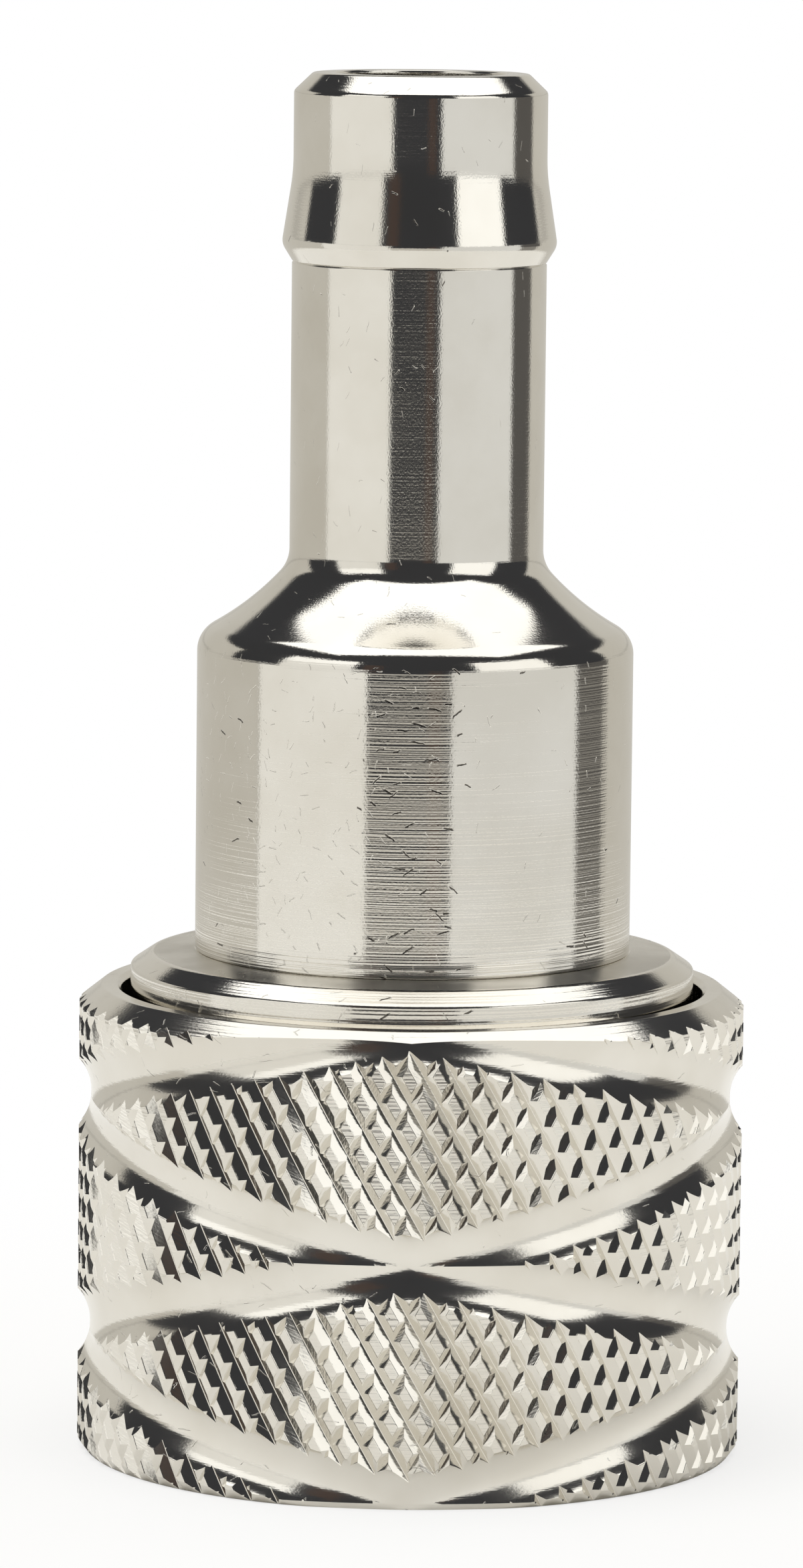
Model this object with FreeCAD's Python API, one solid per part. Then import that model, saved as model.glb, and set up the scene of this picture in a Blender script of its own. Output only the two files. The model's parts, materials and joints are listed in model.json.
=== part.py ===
import FreeCAD, Part
import bisect
import math
import os

import Mesh

# Fuel line quick coupling, female half, standing on its mouth.
# Millimetres. Z is the common axis, z = 0 is the mouth plane that it stands on,
# and azimuth 0 is the front, towards -Y.

# Hose tail, from the top down
nose_length = 3.78
nose_step = 0.025
tip_chamfer_height = 0.7
tip_chamfer_width = 0.73
barb_rise = 0.4
barb_ramp_length = 2.75
barb_back_length = 0.64
tube_radius = 4.875
tube_length = 11.07
tube_wall = 1.625
fillet_radius = 1.4
fillet_turn = 43.0
shoulder_turn = 60.0
shoulder_round = 1.4
cylinder_wall = 1.11
cylinder_length = 11.4
hose_bore_chamfer = 0.3
bore_taper_length = 2.6
tail_chamber_length = 2.3

# Flange and neck of the socket
flange_rise = 1.4
flange_gap = 0.35
flange_flat_width = 1.74
flange_flat_drop = 0.15
flange_bevel_height = 0.5
flange_thickness = 2.45
neck_wall = 2.7
neck_undercut_depth = 0.2
neck_undercut_height = 1.2
nose_chamfer = 0.25

# Bore of the socket, from the mouth up
plug_bore_radius = 6.0
mouth_chamfer = 0.6
seal_land = 1.25
seal_groove_depth = 1.35
seal_groove_width = 2.1
throat_land = 1.05
throat_step = 1.6
throat_length = 1.2
chamber_radius = 5.9

# Threaded joint with the hose tail
spigot_wall = 0.97
spigot_length = 7.75
spigot_chamfer = 0.4
thread_clearance = 0.03
washer_thickness = 0.7
washer_step = 0.1

# Sleeve
sleeve_length = 18.05
sleeve_wall = 1.62
sleeve_top_chamfer_height = 0.68
sleeve_top_chamfer_width = 0.86
sleeve_foot_chamfer_height = 0.4
sleeve_foot_chamfer_width = 0.29
sleeve_bore_edge = 0.18
sleeve_land = 0.65
sleeve_travel = 4.0
recess_edge = 0.25
guide_clearance = 0.05
stop_gap = 0.02

# Knurl and winding grooves of the sleeve
knurl_lines = 70
knurl_depth = 0.42
knurl_diamond_height = 2.0
groove_width = 2.42
groove_depth = 0.48
groove_lead = 18.06
groove_starts = 2
groove_crossing_height = 9.25

# Locking balls and their retaining ring
ball_count = 8
ball_radius = 1.75
ball_height = 5.2
ball_travel = 0.85
ball_clearance = 0.05
ball_relief_depth = 0.2
nose_land = 0.8
ring_thickness = 0.9
ring_reach = 1.5
ring_groove_depth = 0.65
ring_clearance = 0.04
ring_recess_gap = 0.2
ring_gap = 3.0

# Springs
sleeve_spring_wire = 1.0
sleeve_spring_core_gap = 0.75
sleeve_spring_wall_gap = 0.77
sleeve_spring_turns = 4.75
valve_spring_wire = 0.7
valve_spring_core_gap = 0.45
valve_spring_turns = 6.5
spring_end_gap = 0.02
spring_end_pitch = 1.15
spring_end_sink = 0.2
spring_steps_per_turn = 20

# Seals
plug_seal_wire = 1.6
valve_seal_wire = 1.44
valve_seal_rise = 0.65
valve_seat_gap = 0.05
seal_gap = 0.02

# Shut-off valve
poppet_button_radius = 1.6
poppet_button_length = 1.6
poppet_disc_gap = 0.4
poppet_disc_length = 1.3
poppet_groove_width = 1.5
poppet_head_gap = 1.0
poppet_head_length = 1.4
poppet_boss_radius = 3.1
poppet_boss_length = 1.2
stem_radius = 1.55
stem_length = 12.0
stem_clearance = 0.06
guide_rim_thickness = 1.6
guide_rim_seat = 0.35
guide_rim_inset = 0.85
guide_seat_gap = 0.03
guide_hub_wall = 1.19
guide_hub_length = 3.8
guide_hub_drop = 1.1
guide_web_width = 1.8
guide_web_count = 4

# Radii that follow from the walls, gaps and fits
neck_radius = plug_bore_radius + neck_wall
throat_radius = plug_bore_radius - throat_step
seal_groove_radius = plug_bore_radius + seal_groove_depth
guide_rim_radius = chamber_radius + guide_rim_seat
guide_pocket_radius = guide_rim_radius + guide_seat_gap
spigot_radius = guide_pocket_radius + spigot_wall
thread_bore_radius = spigot_radius + thread_clearance
cylinder_radius = thread_bore_radius + cylinder_wall
sleeve_spring_radius = neck_radius + sleeve_spring_core_gap + sleeve_spring_wire / 2
sleeve_bore_radius = sleeve_spring_radius + sleeve_spring_wire / 2 + sleeve_spring_wall_gap
sleeve_radius = sleeve_bore_radius + sleeve_wall
sleeve_guide_radius = neck_radius + guide_clearance
flange_radius = sleeve_bore_radius - flange_gap
ball_centre_radius = neck_radius - ball_radius
ring_outer_radius = neck_radius + ring_reach
ring_groove_radius = neck_radius - ring_groove_depth
ring_recess_radius = ring_outer_radius + ring_recess_gap
valve_spring_radius = poppet_boss_radius + valve_spring_core_gap + valve_spring_wire / 2
hose_bore_radius = tube_radius - tube_wall

# Heights that follow from the lengths above
ring_low = nose_land + ring_clearance
ring_high = ring_low + ring_thickness
sleeve_step = ring_high + stop_gap
spring_seat_height = ball_height + ball_radius + sleeve_land
ball_relief_low = ball_height - ball_radius - ball_clearance
ball_relief_high = ball_height + ball_radius + ball_clearance
seal_groove_low = ball_relief_high + seal_land
seal_groove_high = seal_groove_low + seal_groove_width
plug_bore_depth = seal_groove_high + throat_land
throat_top = plug_bore_depth + throat_length
valve_seal_height = throat_top + valve_seal_rise
poppet_groove_low = valve_seal_height - poppet_groove_width / 2
poppet_groove_high = valve_seal_height + poppet_groove_width / 2
poppet_disc_low = poppet_groove_low - poppet_disc_length
poppet_head_high = poppet_groove_high + poppet_head_length
flange_top = sleeve_length + flange_rise
flange_low = flange_top - flange_thickness
spigot_top = flange_top + spigot_length
guide_seat = spigot_top - guide_rim_thickness
tail_shoulder = spigot_top + washer_thickness
cylinder_top = flange_top + cylinder_length

# Room that cutting tools run past an edge, and how close counts as the same place
tool_overrun = 1.0
same_point = 1e-4
on_line = 1e-5
same_height = 1e-9
no_area = 1e-8


def point(radius, height):
    """A point of a turned outline, in the plane y = 0."""
    return FreeCAD.Vector(radius, 0, height)


def lines(*points):
    """Straight edges through points given as (radius, height)."""
    ends = [point(*p) for p in points]
    return [Part.LineSegment(a, b).toShape() for a, b in zip(ends, ends[1:])]


def arc(start, centre, radius, middle_degrees, end):
    """An arc between two outline points, through the point at an angle about its centre."""
    angle = math.radians(middle_degrees)
    middle = (centre[0] + radius * math.cos(angle), centre[1] + radius * math.sin(angle))
    return [Part.Arc(point(*start), point(*middle), point(*end)).toShape()]


def turned(edges):
    """The solid that a closed outline sweeps round the Z axis."""
    outline = Part.Wire(Part.__sortEdges__(edges))
    return Part.Face(outline).revolve(FreeCAD.Vector(), FreeCAD.Vector(0, 0, 1), 360)


def turned_from(*points):
    """The turned solid of a straight-sided outline."""
    return turned(lines(*points, points[0]))


def o_ring(mean_radius, height, wire):
    """A round seal ring."""
    return Part.makeTorus(mean_radius, wire / 2, FreeCAD.Vector(0, 0, height))


def shoulder_outline():
    """The ogee from the tube down to the cylinder: small fillet, long hollow, small round."""
    leave = math.radians(fillet_turn)
    arrive = math.radians(shoulder_turn)
    fillet_out = fillet_radius * (1 - math.cos(leave))
    fillet_drop = fillet_radius * math.sin(leave)
    round_out = shoulder_round * (1 - math.cos(arrive))
    round_drop = shoulder_round * math.sin(arrive)
    hollow_out = cylinder_radius - tube_radius - fillet_out - round_out
    hollow_radius = hollow_out / (math.cos(leave) - math.cos(arrive))
    hollow_drop = hollow_radius * (math.sin(arrive) - math.sin(leave))
    tube_foot = cylinder_top + round_drop + hollow_drop + fillet_drop
    a = (tube_radius, tube_foot)
    b = (tube_radius + fillet_out, tube_foot - fillet_drop)
    c = (cylinder_radius - round_out, cylinder_top + round_drop)
    d = (cylinder_radius, cylinder_top)
    fillet_centre = (tube_radius + fillet_radius, tube_foot)
    hollow_centre = (b[0] + hollow_radius * math.cos(leave), b[1] + hollow_radius * math.sin(leave))
    round_centre = (cylinder_radius - shoulder_round, cylinder_top)
    edges = arc(a, fillet_centre, fillet_radius, 180 + fillet_turn / 2, b)
    edges += arc(b, hollow_centre, hollow_radius, 180 + (fillet_turn + shoulder_turn) / 2, c)
    edges += arc(c, round_centre, shoulder_round, shoulder_turn / 2, d)
    return edges, tube_foot


def hose_tail():
    """Barbed nose, tube, ogee shoulder and cylinder, with a threaded socket below."""
    shoulder, tube_foot = shoulder_outline()
    nose_radius = tube_radius - nose_step
    barb_foot = tube_foot + tube_length
    barb_top = barb_foot + barb_back_length
    nose_foot = barb_top + barb_ramp_length
    tip = nose_foot + nose_length
    taper_foot = tail_shoulder + tail_chamber_length
    outside = lines(
        (tube_radius, tube_foot),
        (tube_radius, barb_foot),
        (tube_radius + barb_rise, barb_top),
        (nose_radius, nose_foot),
        (nose_radius, tip - tip_chamfer_height),
        (nose_radius - tip_chamfer_width, tip),
        (hose_bore_radius + hose_bore_chamfer, tip),
        (hose_bore_radius, tip - hose_bore_chamfer),
        (hose_bore_radius, taper_foot + bore_taper_length),
        (chamber_radius, taper_foot),
        (chamber_radius, tail_shoulder),
        (thread_bore_radius, tail_shoulder),
        (thread_bore_radius, flange_top),
        (cylinder_radius, flange_top),
        (cylinder_radius, cylinder_top),
    )
    return turned(outside + shoulder)


def ball_angles():
    """Azimuths of the ball pockets, in degrees from the front."""
    return [360.0 * (i + 0.5) / ball_count for i in range(ball_count)]


def outward(degrees):
    """Unit vector at an azimuth counted from the front, -Y, towards +X."""
    angle = math.radians(degrees)
    return FreeCAD.Vector(math.sin(angle), -math.cos(angle), 0)


def ball_centre(degrees):
    """Where a ball's centre lies when it is locked."""
    return outward(degrees) * ball_centre_radius + FreeCAD.Vector(0, 0, ball_height)


def ball_pocket(degrees):
    """A round hole from outside with a ball-shaped seat that keeps the ball from falling in."""
    radius = ball_radius + ball_clearance
    centre = ball_centre(degrees)
    hole = Part.makeCylinder(radius, 2 * ball_radius, centre, outward(degrees))
    return hole.fuse(Part.makeSphere(radius, centre))


def socket_body():
    """Neck with ball pockets, bevelled flange and threaded spigot, bored for plug and valve."""
    ring_groove_top = ring_high + ring_clearance
    undercut_foot = flange_low - neck_undercut_height
    flat_edge = flange_top - flange_flat_drop
    body = turned_from(
        (plug_bore_radius + mouth_chamfer, 0),
        (neck_radius - nose_chamfer, 0),
        (neck_radius, nose_chamfer),
        (neck_radius, nose_land),
        (ring_groove_radius, nose_land),
        (ring_groove_radius, ring_groove_top),
        (neck_radius, ring_groove_top),
        (neck_radius, undercut_foot),
        (neck_radius - neck_undercut_depth, undercut_foot),
        (neck_radius - neck_undercut_depth, flange_low),
        (flange_radius, flange_low),
        (flange_radius, flat_edge - flange_bevel_height),
        (cylinder_radius + flange_flat_width, flat_edge),
        (cylinder_radius, flange_top),
        (spigot_radius, flange_top),
        (spigot_radius, spigot_top - spigot_chamfer),
        (spigot_radius - spigot_chamfer, spigot_top),
        (guide_pocket_radius, spigot_top),
        (guide_pocket_radius, guide_seat),
        (chamber_radius, guide_seat),
        (chamber_radius, throat_top + chamber_radius - throat_radius),
        (throat_radius, throat_top),
        (throat_radius, plug_bore_depth),
        (plug_bore_radius, plug_bore_depth),
        (plug_bore_radius, seal_groove_high),
        (seal_groove_radius, seal_groove_high),
        (seal_groove_radius, seal_groove_low),
        (plug_bore_radius, seal_groove_low),
        (plug_bore_radius, ball_relief_high),
        (plug_bore_radius + ball_relief_depth, ball_relief_high),
        (plug_bore_radius + ball_relief_depth, ball_relief_low),
        (plug_bore_radius, ball_relief_low),
        (plug_bore_radius, mouth_chamfer),
    )
    for degrees in ball_angles():
        body = body.cut(ball_pocket(degrees))
    return body


def coil_spring(low, high, mean_radius, wire, turns):
    """A compression spring whose closed end coils are ground flat."""
    end_rise = spring_end_pitch * wire
    start = low + spring_end_sink * wire
    finish = high - spring_end_sink * wire
    pitch = (finish - start - 2 * end_rise) / (turns - 2)
    path = []
    for i in range(int(round(turns * spring_steps_per_turn)) + 1):
        turn = i / spring_steps_per_turn
        middle = min(max(turn - 1, 0), turns - 2)
        ends = min(turn, 1) + max(turn - turns + 1, 0)
        angle = 2 * math.pi * turn
        height = start + middle * pitch + ends * end_rise
        path.append(FreeCAD.Vector(mean_radius * math.cos(angle), mean_radius * math.sin(angle), height))
    curve = Part.BSplineCurve()
    curve.interpolate(path)
    circle = Part.Circle(path[0], curve.tangent(curve.FirstParameter)[0], wire / 2)
    section = Part.Wire(circle.toShape())
    coil = Part.Wire(curve.toShape()).makePipeShell([section], True, True)
    ground = Part.makeCylinder(mean_radius + 2 * wire, high - low, FreeCAD.Vector(0, 0, low))
    return coil.common(ground).Solids[0]


def sleeve_spring():
    """Spring round the neck, between the flange and the step in the sleeve."""
    return coil_spring(
        spring_seat_height + spring_end_gap,
        flange_low - spring_end_gap,
        sleeve_spring_radius,
        sleeve_spring_wire,
        sleeve_spring_turns,
    )


def retaining_ring():
    """Flat snap ring in the groove near the mouth, open at the back."""
    inner = ring_groove_radius + ring_clearance
    ring = turned_from(
        (inner, ring_low), (ring_outer_radius, ring_low), (ring_outer_radius, ring_high), (inner, ring_high)
    )
    gap = Part.makeBox(ring_gap, ring_outer_radius, sleeve_step, FreeCAD.Vector(-ring_gap / 2, 0, 0))
    return ring.cut(gap)


def lock_ball(degrees):
    """A locking ball in its pocket, pressed inwards."""
    return Part.makeSphere(ball_radius, ball_centre(degrees))


def plug_seal():
    """Seal ring that grips the plug, in its groove in the bore."""
    mean_radius = seal_groove_radius - seal_gap - plug_seal_wire / 2
    return o_ring(mean_radius, (seal_groove_low + seal_groove_high) / 2, plug_seal_wire)


def valve_seal_radius():
    """Mean radius at which the poppet's seal ring just clears the 45 degree seat."""
    seat_reach = valve_seal_height - throat_top + throat_radius
    return seat_reach - math.sqrt(2) * (valve_seal_wire / 2 + valve_seat_gap)


def valve_poppet():
    """Turned valve: button, disc, seal groove, head, spring boss and guide stem."""
    button_low = poppet_disc_low - poppet_button_length
    disc_radius = throat_radius - poppet_disc_gap
    root_radius = valve_seal_radius() - valve_seal_wire / 2 - seal_gap
    head_radius = chamber_radius - poppet_head_gap
    boss_top = poppet_head_high + poppet_boss_length
    return turned_from(
        (0, button_low),
        (poppet_button_radius, button_low),
        (poppet_button_radius, poppet_disc_low),
        (disc_radius, poppet_disc_low),
        (disc_radius, poppet_groove_low),
        (root_radius, poppet_groove_low),
        (root_radius, poppet_groove_high),
        (head_radius, poppet_groove_high),
        (head_radius, poppet_head_high),
        (poppet_boss_radius, poppet_head_high),
        (poppet_boss_radius, boss_top),
        (stem_radius, boss_top),
        (stem_radius, boss_top + stem_length),
        (0, boss_top + stem_length),
    )


def valve_seal():
    """Seal ring on the poppet, just clear of the seat that it closes."""
    return o_ring(valve_seal_radius(), valve_seal_height, valve_seal_wire)


def valve_spring():
    """Spring between the poppet's head and the webs of the guide."""
    return coil_spring(
        poppet_head_high + spring_end_gap,
        guide_seat - spring_end_gap,
        valve_spring_radius,
        valve_spring_wire,
        valve_spring_turns,
    )


def valve_guide():
    """Rim, webs and bored hub that guide the poppet's stem."""
    bore = stem_radius + stem_clearance
    rim_bore = chamber_radius - guide_rim_inset
    rim = turned_from(
        (rim_bore, guide_seat),
        (guide_rim_radius, guide_seat),
        (guide_rim_radius, spigot_top),
        (rim_bore, spigot_top),
    )
    hub_foot = FreeCAD.Vector(0, 0, guide_seat - guide_hub_drop)
    guide = rim.fuse(Part.makeCylinder(bore + guide_hub_wall, guide_hub_length, hub_foot))
    reach = (rim_bore + guide_rim_radius) / 2
    for i in range(guide_web_count):
        corner = FreeCAD.Vector(0, -guide_web_width / 2, guide_seat)
        web = Part.makeBox(reach, guide_web_width, guide_rim_thickness, corner)
        web.rotate(FreeCAD.Vector(), FreeCAD.Vector(0, 0, 1), 360.0 * i / guide_web_count)
        guide = guide.fuse(web)
    return guide.cut(Part.makeCylinder(bore, guide_hub_length, hub_foot)).removeSplitter()


def joint_seal():
    """Flat washer clamped between the spigot's end and the shoulder in the hose tail."""
    inner = chamber_radius + washer_step
    outer = thread_bore_radius - seal_gap
    return turned_from(
        (inner, spigot_top),
        (outer, spigot_top),
        (outer, tail_shoulder),
        (inner, tail_shoulder),
    )


class SleeveSkin:
    """The outer skin of the sleeve, unrolled: u counts knurl pitches round it, v is the height.

    The unrolled skin is cut into convex pieces by straight lines: the edges and bottoms of the
    grooves, the chamfers, and the valleys and ridges of the knurl. Each piece is a list of
    (point, name of the line that runs on from it). The radius at each corner is the least of the
    knurl, the grooves and the chamfers.
    """

    def __init__(self):
        self.slope = groove_lead / knurl_lines
        self.spacing = groove_lead / groove_starts
        self.square = math.cos(math.atan(groove_lead / (2 * math.pi * sleeve_radius)))
        self.arc_radius = ((groove_width / 2) ** 2 + groove_depth**2) / (2 * groove_depth)
        rise = max(groove_depth - knurl_depth, 0)
        self.floor_half_width = math.sqrt(self.arc_radius**2 - (self.arc_radius - rise) ** 2)
        self.top_slope = sleeve_top_chamfer_width / sleeve_top_chamfer_height
        self.foot_slope = sleeve_foot_chamfer_width / sleeve_foot_chamfer_height
        self.chamfer_start = sleeve_length - sleeve_top_chamfer_height
        self.cone_start = self.chamfer_start + max(groove_depth, knurl_depth) / self.top_slope
        self.corners = {}

    def corner(self, u, v):
        """The one shared point at (u, v), so that neighbours meet exactly."""
        column = round(u / same_point)
        row = round(v / same_point)
        for i in (column, column - 1, column + 1):
            for j in (row, row - 1, row + 1):
                if (i, j) in self.corners:
                    return self.corners[i, j]
        self.corners[column, row] = (u, v)
        return self.corners[column, row]

    def off_groove(self, u, v, hand):
        """Distance from the nearest groove's middle, square to it, and that groove's number."""
        rise = v - groove_crossing_height - hand * self.slope * u
        number = round(rise / self.spacing)
        return (rise - number * self.spacing) * self.square, number

    def radius(self, u, v):
        """Radius of the finished skin."""
        turn = (v - groove_crossing_height) / knurl_diamond_height
        across = max(abs((u + turn) % 1 - 0.5), abs((u - turn) % 1 - 0.5))
        least = sleeve_radius - knurl_depth * 2 * across
        for hand in (1, -1):
            off = min(abs(self.off_groove(u, v, hand)[0]), groove_width / 2)
            hollow = math.sqrt(self.arc_radius**2 - off**2) - self.arc_radius + groove_depth
            least = min(least, sleeve_radius - hollow)
        top = sleeve_radius - (v - self.chamfer_start) * self.top_slope
        foot = sleeve_radius - (sleeve_foot_chamfer_height - v) * self.foot_slope
        return min(least, top, foot)

    def split(self, pieces, name, side):
        """Cut convex pieces along a line, where side(u, v) is zero."""
        cut = []
        for piece in pieces:
            values = [side(*p) for p, _ in piece]
            if min(values) > -on_line or max(values) < on_line:
                cut.append(piece)
                continue
            low, high = [], []
            for i, (p, edge) in enumerate(piece):
                q = piece[(i + 1) % len(piece)][0]
                a, b = values[i], values[(i + 1) % len(piece)]
                if abs(a) < on_line:
                    low.append((p, edge if b < 0 else name))
                    high.append((p, edge if b > 0 else name))
                    continue
                (low if a < 0 else high).append((p, edge))
                if abs(b) > on_line and (a < 0) != (b < 0):
                    t = a / (a - b)
                    middle = self.corner(p[0] + t * (q[0] - p[0]), p[1] + t * (q[1] - p[1]))
                    low.append((middle, name if a < 0 else edge))
                    high.append((middle, edge if a < 0 else name))
            cut += [low, high]
        return cut

    def level(self, pieces, height):
        """Cut pieces along a level line."""
        return self.split(pieces, ("level", round(height, 6)), lambda u, v: v - height)

    def upright(self, pieces, u_line):
        """Cut pieces along an upright line."""
        return self.split(pieces, ("upright", round(u_line, 6)), lambda u, v: u - u_line)

    def cut_grooves(self, pieces, column):
        """Cut one column along the edges, floor edges and middles of every groove that crosses it."""
        offsets = {0, groove_width / 2, -groove_width / 2, self.floor_half_width, -self.floor_half_width}
        for hand in (1, -1):
            rises = [v - groove_crossing_height - hand * self.slope * u
                     for u in (column, column + 1) for v in (0, sleeve_length)]
            first = math.floor(min(rises) / self.spacing) - 1
            last = math.ceil(max(rises) / self.spacing) + 1
            for number in range(first, last + 1):
                for offset in sorted(offsets):
                    shift = groove_crossing_height + number * self.spacing + offset / self.square
                    name = ("groove", hand, number, offset)
                    slope = hand * self.slope
                    pieces = self.split(pieces, name, lambda u, v: (v - shift - slope * u) * self.square)
        return pieces

    def cut_crossing(self, piece, up, down):
        """Cut a piece that two grooves share along the level and upright lines of their crossing."""
        u_line = (down - up) * self.spacing / (2 * self.slope)
        height = groove_crossing_height + (down + up) * self.spacing / 2
        return self.upright(self.level([piece], height), u_line)

    def cut_knurl(self, piece, column):
        """Cut a piece between grooves along the valleys and ridges of the knurl."""
        pieces = self.upright([piece], column + 0.5)
        low = min(p[1] for p, _ in piece) - groove_crossing_height
        high = max(p[1] for p, _ in piece) - groove_crossing_height
        half = knurl_diamond_height / 2
        for row in range(math.ceil(low / half), math.floor(high / half) + 1):
            pieces = self.level(pieces, groove_crossing_height + row * half)
        for hand in (1, -1):
            turns = [column + i + hand * v / knurl_diamond_height for i in (0, 1) for v in (low, high)]
            for line in range(math.ceil(min(turns)), math.floor(max(turns)) + 1):
                def side(u, v):
                    return u + hand * (v - groove_crossing_height) / knurl_diamond_height - line
                pieces = self.split(pieces, ("valley", hand, line), side)
        return pieces

    def pieces(self):
        """All the convex pieces of the unrolled skin."""
        done = []
        for column in range(knurl_lines):
            right = column + 1
            box = [
                (self.corner(column, 0), ("level", 0.0)),
                (self.corner(right, 0), ("upright", float(right))),
                (self.corner(right, sleeve_length), ("level", round(sleeve_length, 6))),
                (self.corner(column, sleeve_length), ("upright", float(column))),
            ]
            cut = [box]
            for height in (sleeve_foot_chamfer_height, self.chamfer_start, self.cone_start):
                cut = self.level(cut, height)
            cone = [p for p in cut if min(v for (_, v), _ in p) > self.cone_start - same_point]
            band = [p for p in cut if p not in cone]
            done += cone
            for piece in self.cut_grooves(band, column):
                u = sum(p[0] for p, _ in piece) / len(piece)
                v = sum(p[1] for p, _ in piece) / len(piece)
                up_off, up = self.off_groove(u, v, 1)
                down_off, down = self.off_groove(u, v, -1)
                in_up = abs(up_off) < groove_width / 2
                in_down = abs(down_off) < groove_width / 2
                if in_up and in_down:
                    done += self.cut_crossing(piece, up, down)
                elif in_up or in_down:
                    done.append(piece)
                else:
                    done += self.cut_knurl(piece, column)
        return done

    def meet(self, pieces):
        """Give each piece the corners that its neighbours have on its edges."""
        lines_of = {}
        for piece in pieces:
            for i, (p, name) in enumerate(piece):
                q = piece[(i + 1) % len(piece)][0]
                lines_of.setdefault(name, set()).update((p, q))
        left_seam = ("upright", 0.0)
        right_seam = ("upright", float(knurl_lines))
        seam = lines_of[left_seam] | {(u - knurl_lines, v) for u, v in lines_of[right_seam]}
        lines_of[left_seam] = {self.corner(*p) for p in seam}
        lines_of[right_seam] = {self.corner(u + knurl_lines, v) for u, v in seam}
        ordered = {}
        for name, points in lines_of.items():
            axis = 1 if name[0] in ("upright", "valley") else 0
            ordered[name] = (axis, sorted(points, key=lambda p: p[axis]))
        for piece in pieces:
            full = []
            for i, (p, name) in enumerate(piece):
                q = piece[(i + 1) % len(piece)][0]
                axis, points = ordered[name]
                keys = [r[axis] for r in points]
                first = bisect.bisect_right(keys, min(p[axis], q[axis]) + same_height)
                last = bisect.bisect_left(keys, max(p[axis], q[axis]) - same_height)
                between = points[first:last]
                full.append(p)
                full += between if q[axis] > p[axis] else between[::-1]
            yield full

    def triangles(self, ring):
        """Cut a convex ring of points into triangles, best-shaped ears first."""
        ring = [p for i, p in enumerate(ring) if p != ring[i - 1]]
        left = sum(p[0] * q[1] - p[1] * q[0] for p, q in zip(ring, ring[1:] + ring[:1]))
        while len(ring) > 2:
            best, ear, ear_area = 0, None, 0
            for i, p in enumerate(ring):
                a, b = ring[i - 1], ring[(i + 1) % len(ring)]
                area = (p[0] - a[0]) * (b[1] - a[1]) - (p[1] - a[1]) * (b[0] - a[0])
                longest = max((a[0] - b[0]) ** 2 + (a[1] - b[1]) ** 2, no_area)
                flat_left = left - area < no_area and len(ring) > 3
                if area > no_area and not flat_left and area / longest > best:
                    best, ear, ear_area = area / longest, i, area
            if ear is None:
                return
            yield ring[ear - 1], ring[ear], ring[(ear + 1) % len(ring)]
            ring.pop(ear)
            left -= ear_area

    def place(self, p):
        """The point in space of an unrolled point."""
        u, v = p[0] % knurl_lines, p[1]
        radius = self.radius(u, v)
        angle = 2 * math.pi * u / knurl_lines
        return (radius * math.sin(angle), -radius * math.cos(angle), v)

    def solid(self):
        """The knurled bar: skin, foot and top as one closed solid."""
        rings = list(self.meet(self.pieces()))
        facets = [[self.place(p) for p in t] for ring in rings for t in self.triangles(ring)]
        for height in (0, sleeve_length):
            rim = {p for ring in rings for p in ring if p[1] == height}
            rim = [self.place(p) for p in sorted(rim)]
            for a, b in zip(rim, rim[1:]):
                facets.append([(0, 0, height), a, b] if height else [(0, 0, height), b, a])
        mesh = Mesh.Mesh(facets)
        skin = Part.Shape()
        skin.makeShapeFromMesh(mesh.Topology, same_point)
        return Part.Solid(skin)


def sleeve():
    """Knurled pull-back sleeve, bored for the spring, the neck, the ball ramp and the ring."""
    ramp = ball_travel / sleeve_travel
    ball_reach = ball_centre_radius + ball_radius * math.hypot(1, ramp) + ball_clearance
    ramp_top = ball_height - (sleeve_guide_radius - ball_reach) / ramp
    ramp_foot_radius = ball_reach + (ball_height - sleeve_step) * ramp
    past = tool_overrun
    bore = turned_from(
        (0, -past),
        (ring_recess_radius + recess_edge + past, -past),
        (ring_recess_radius, recess_edge),
        (ring_recess_radius, sleeve_step),
        (ramp_foot_radius, sleeve_step),
        (sleeve_guide_radius, ramp_top),
        (sleeve_guide_radius, spring_seat_height),
        (sleeve_bore_radius, spring_seat_height),
        (sleeve_bore_radius, sleeve_length - sleeve_bore_edge),
        (sleeve_bore_radius + sleeve_bore_edge + past, sleeve_length + past),
        (0, sleeve_length + past),
    )
    return SleeveSkin().solid().cut(bore).Solids[0]


def parts():
    """Every separate piece by name."""
    pieces = {
        "hose_tail": hose_tail(),
        "socket_body": socket_body(),
        "sleeve": sleeve(),
        "sleeve_spring": sleeve_spring(),
        "retaining_ring": retaining_ring(),
        "plug_seal": plug_seal(),
        "valve_poppet": valve_poppet(),
        "valve_seal": valve_seal(),
        "valve_spring": valve_spring(),
        "valve_guide": valve_guide(),
        "joint_seal": joint_seal(),
    }
    for i, degrees in enumerate(ball_angles()):
        pieces["lock_ball_%d" % (i + 1)] = lock_ball(degrees)
    return pieces


os.makedirs("parts", exist_ok=True)
for node, solid in parts().items():
    solid.exportStep("parts/%s.step" % node)
    print(node, solid.isValid(), len(solid.Solids), len(solid.Faces), round(solid.Volume, 2))
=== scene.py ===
from collections import namedtuple
import json
import math

import bmesh
import bpy
import numpy as np
from mathutils import Matrix, Vector


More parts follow.
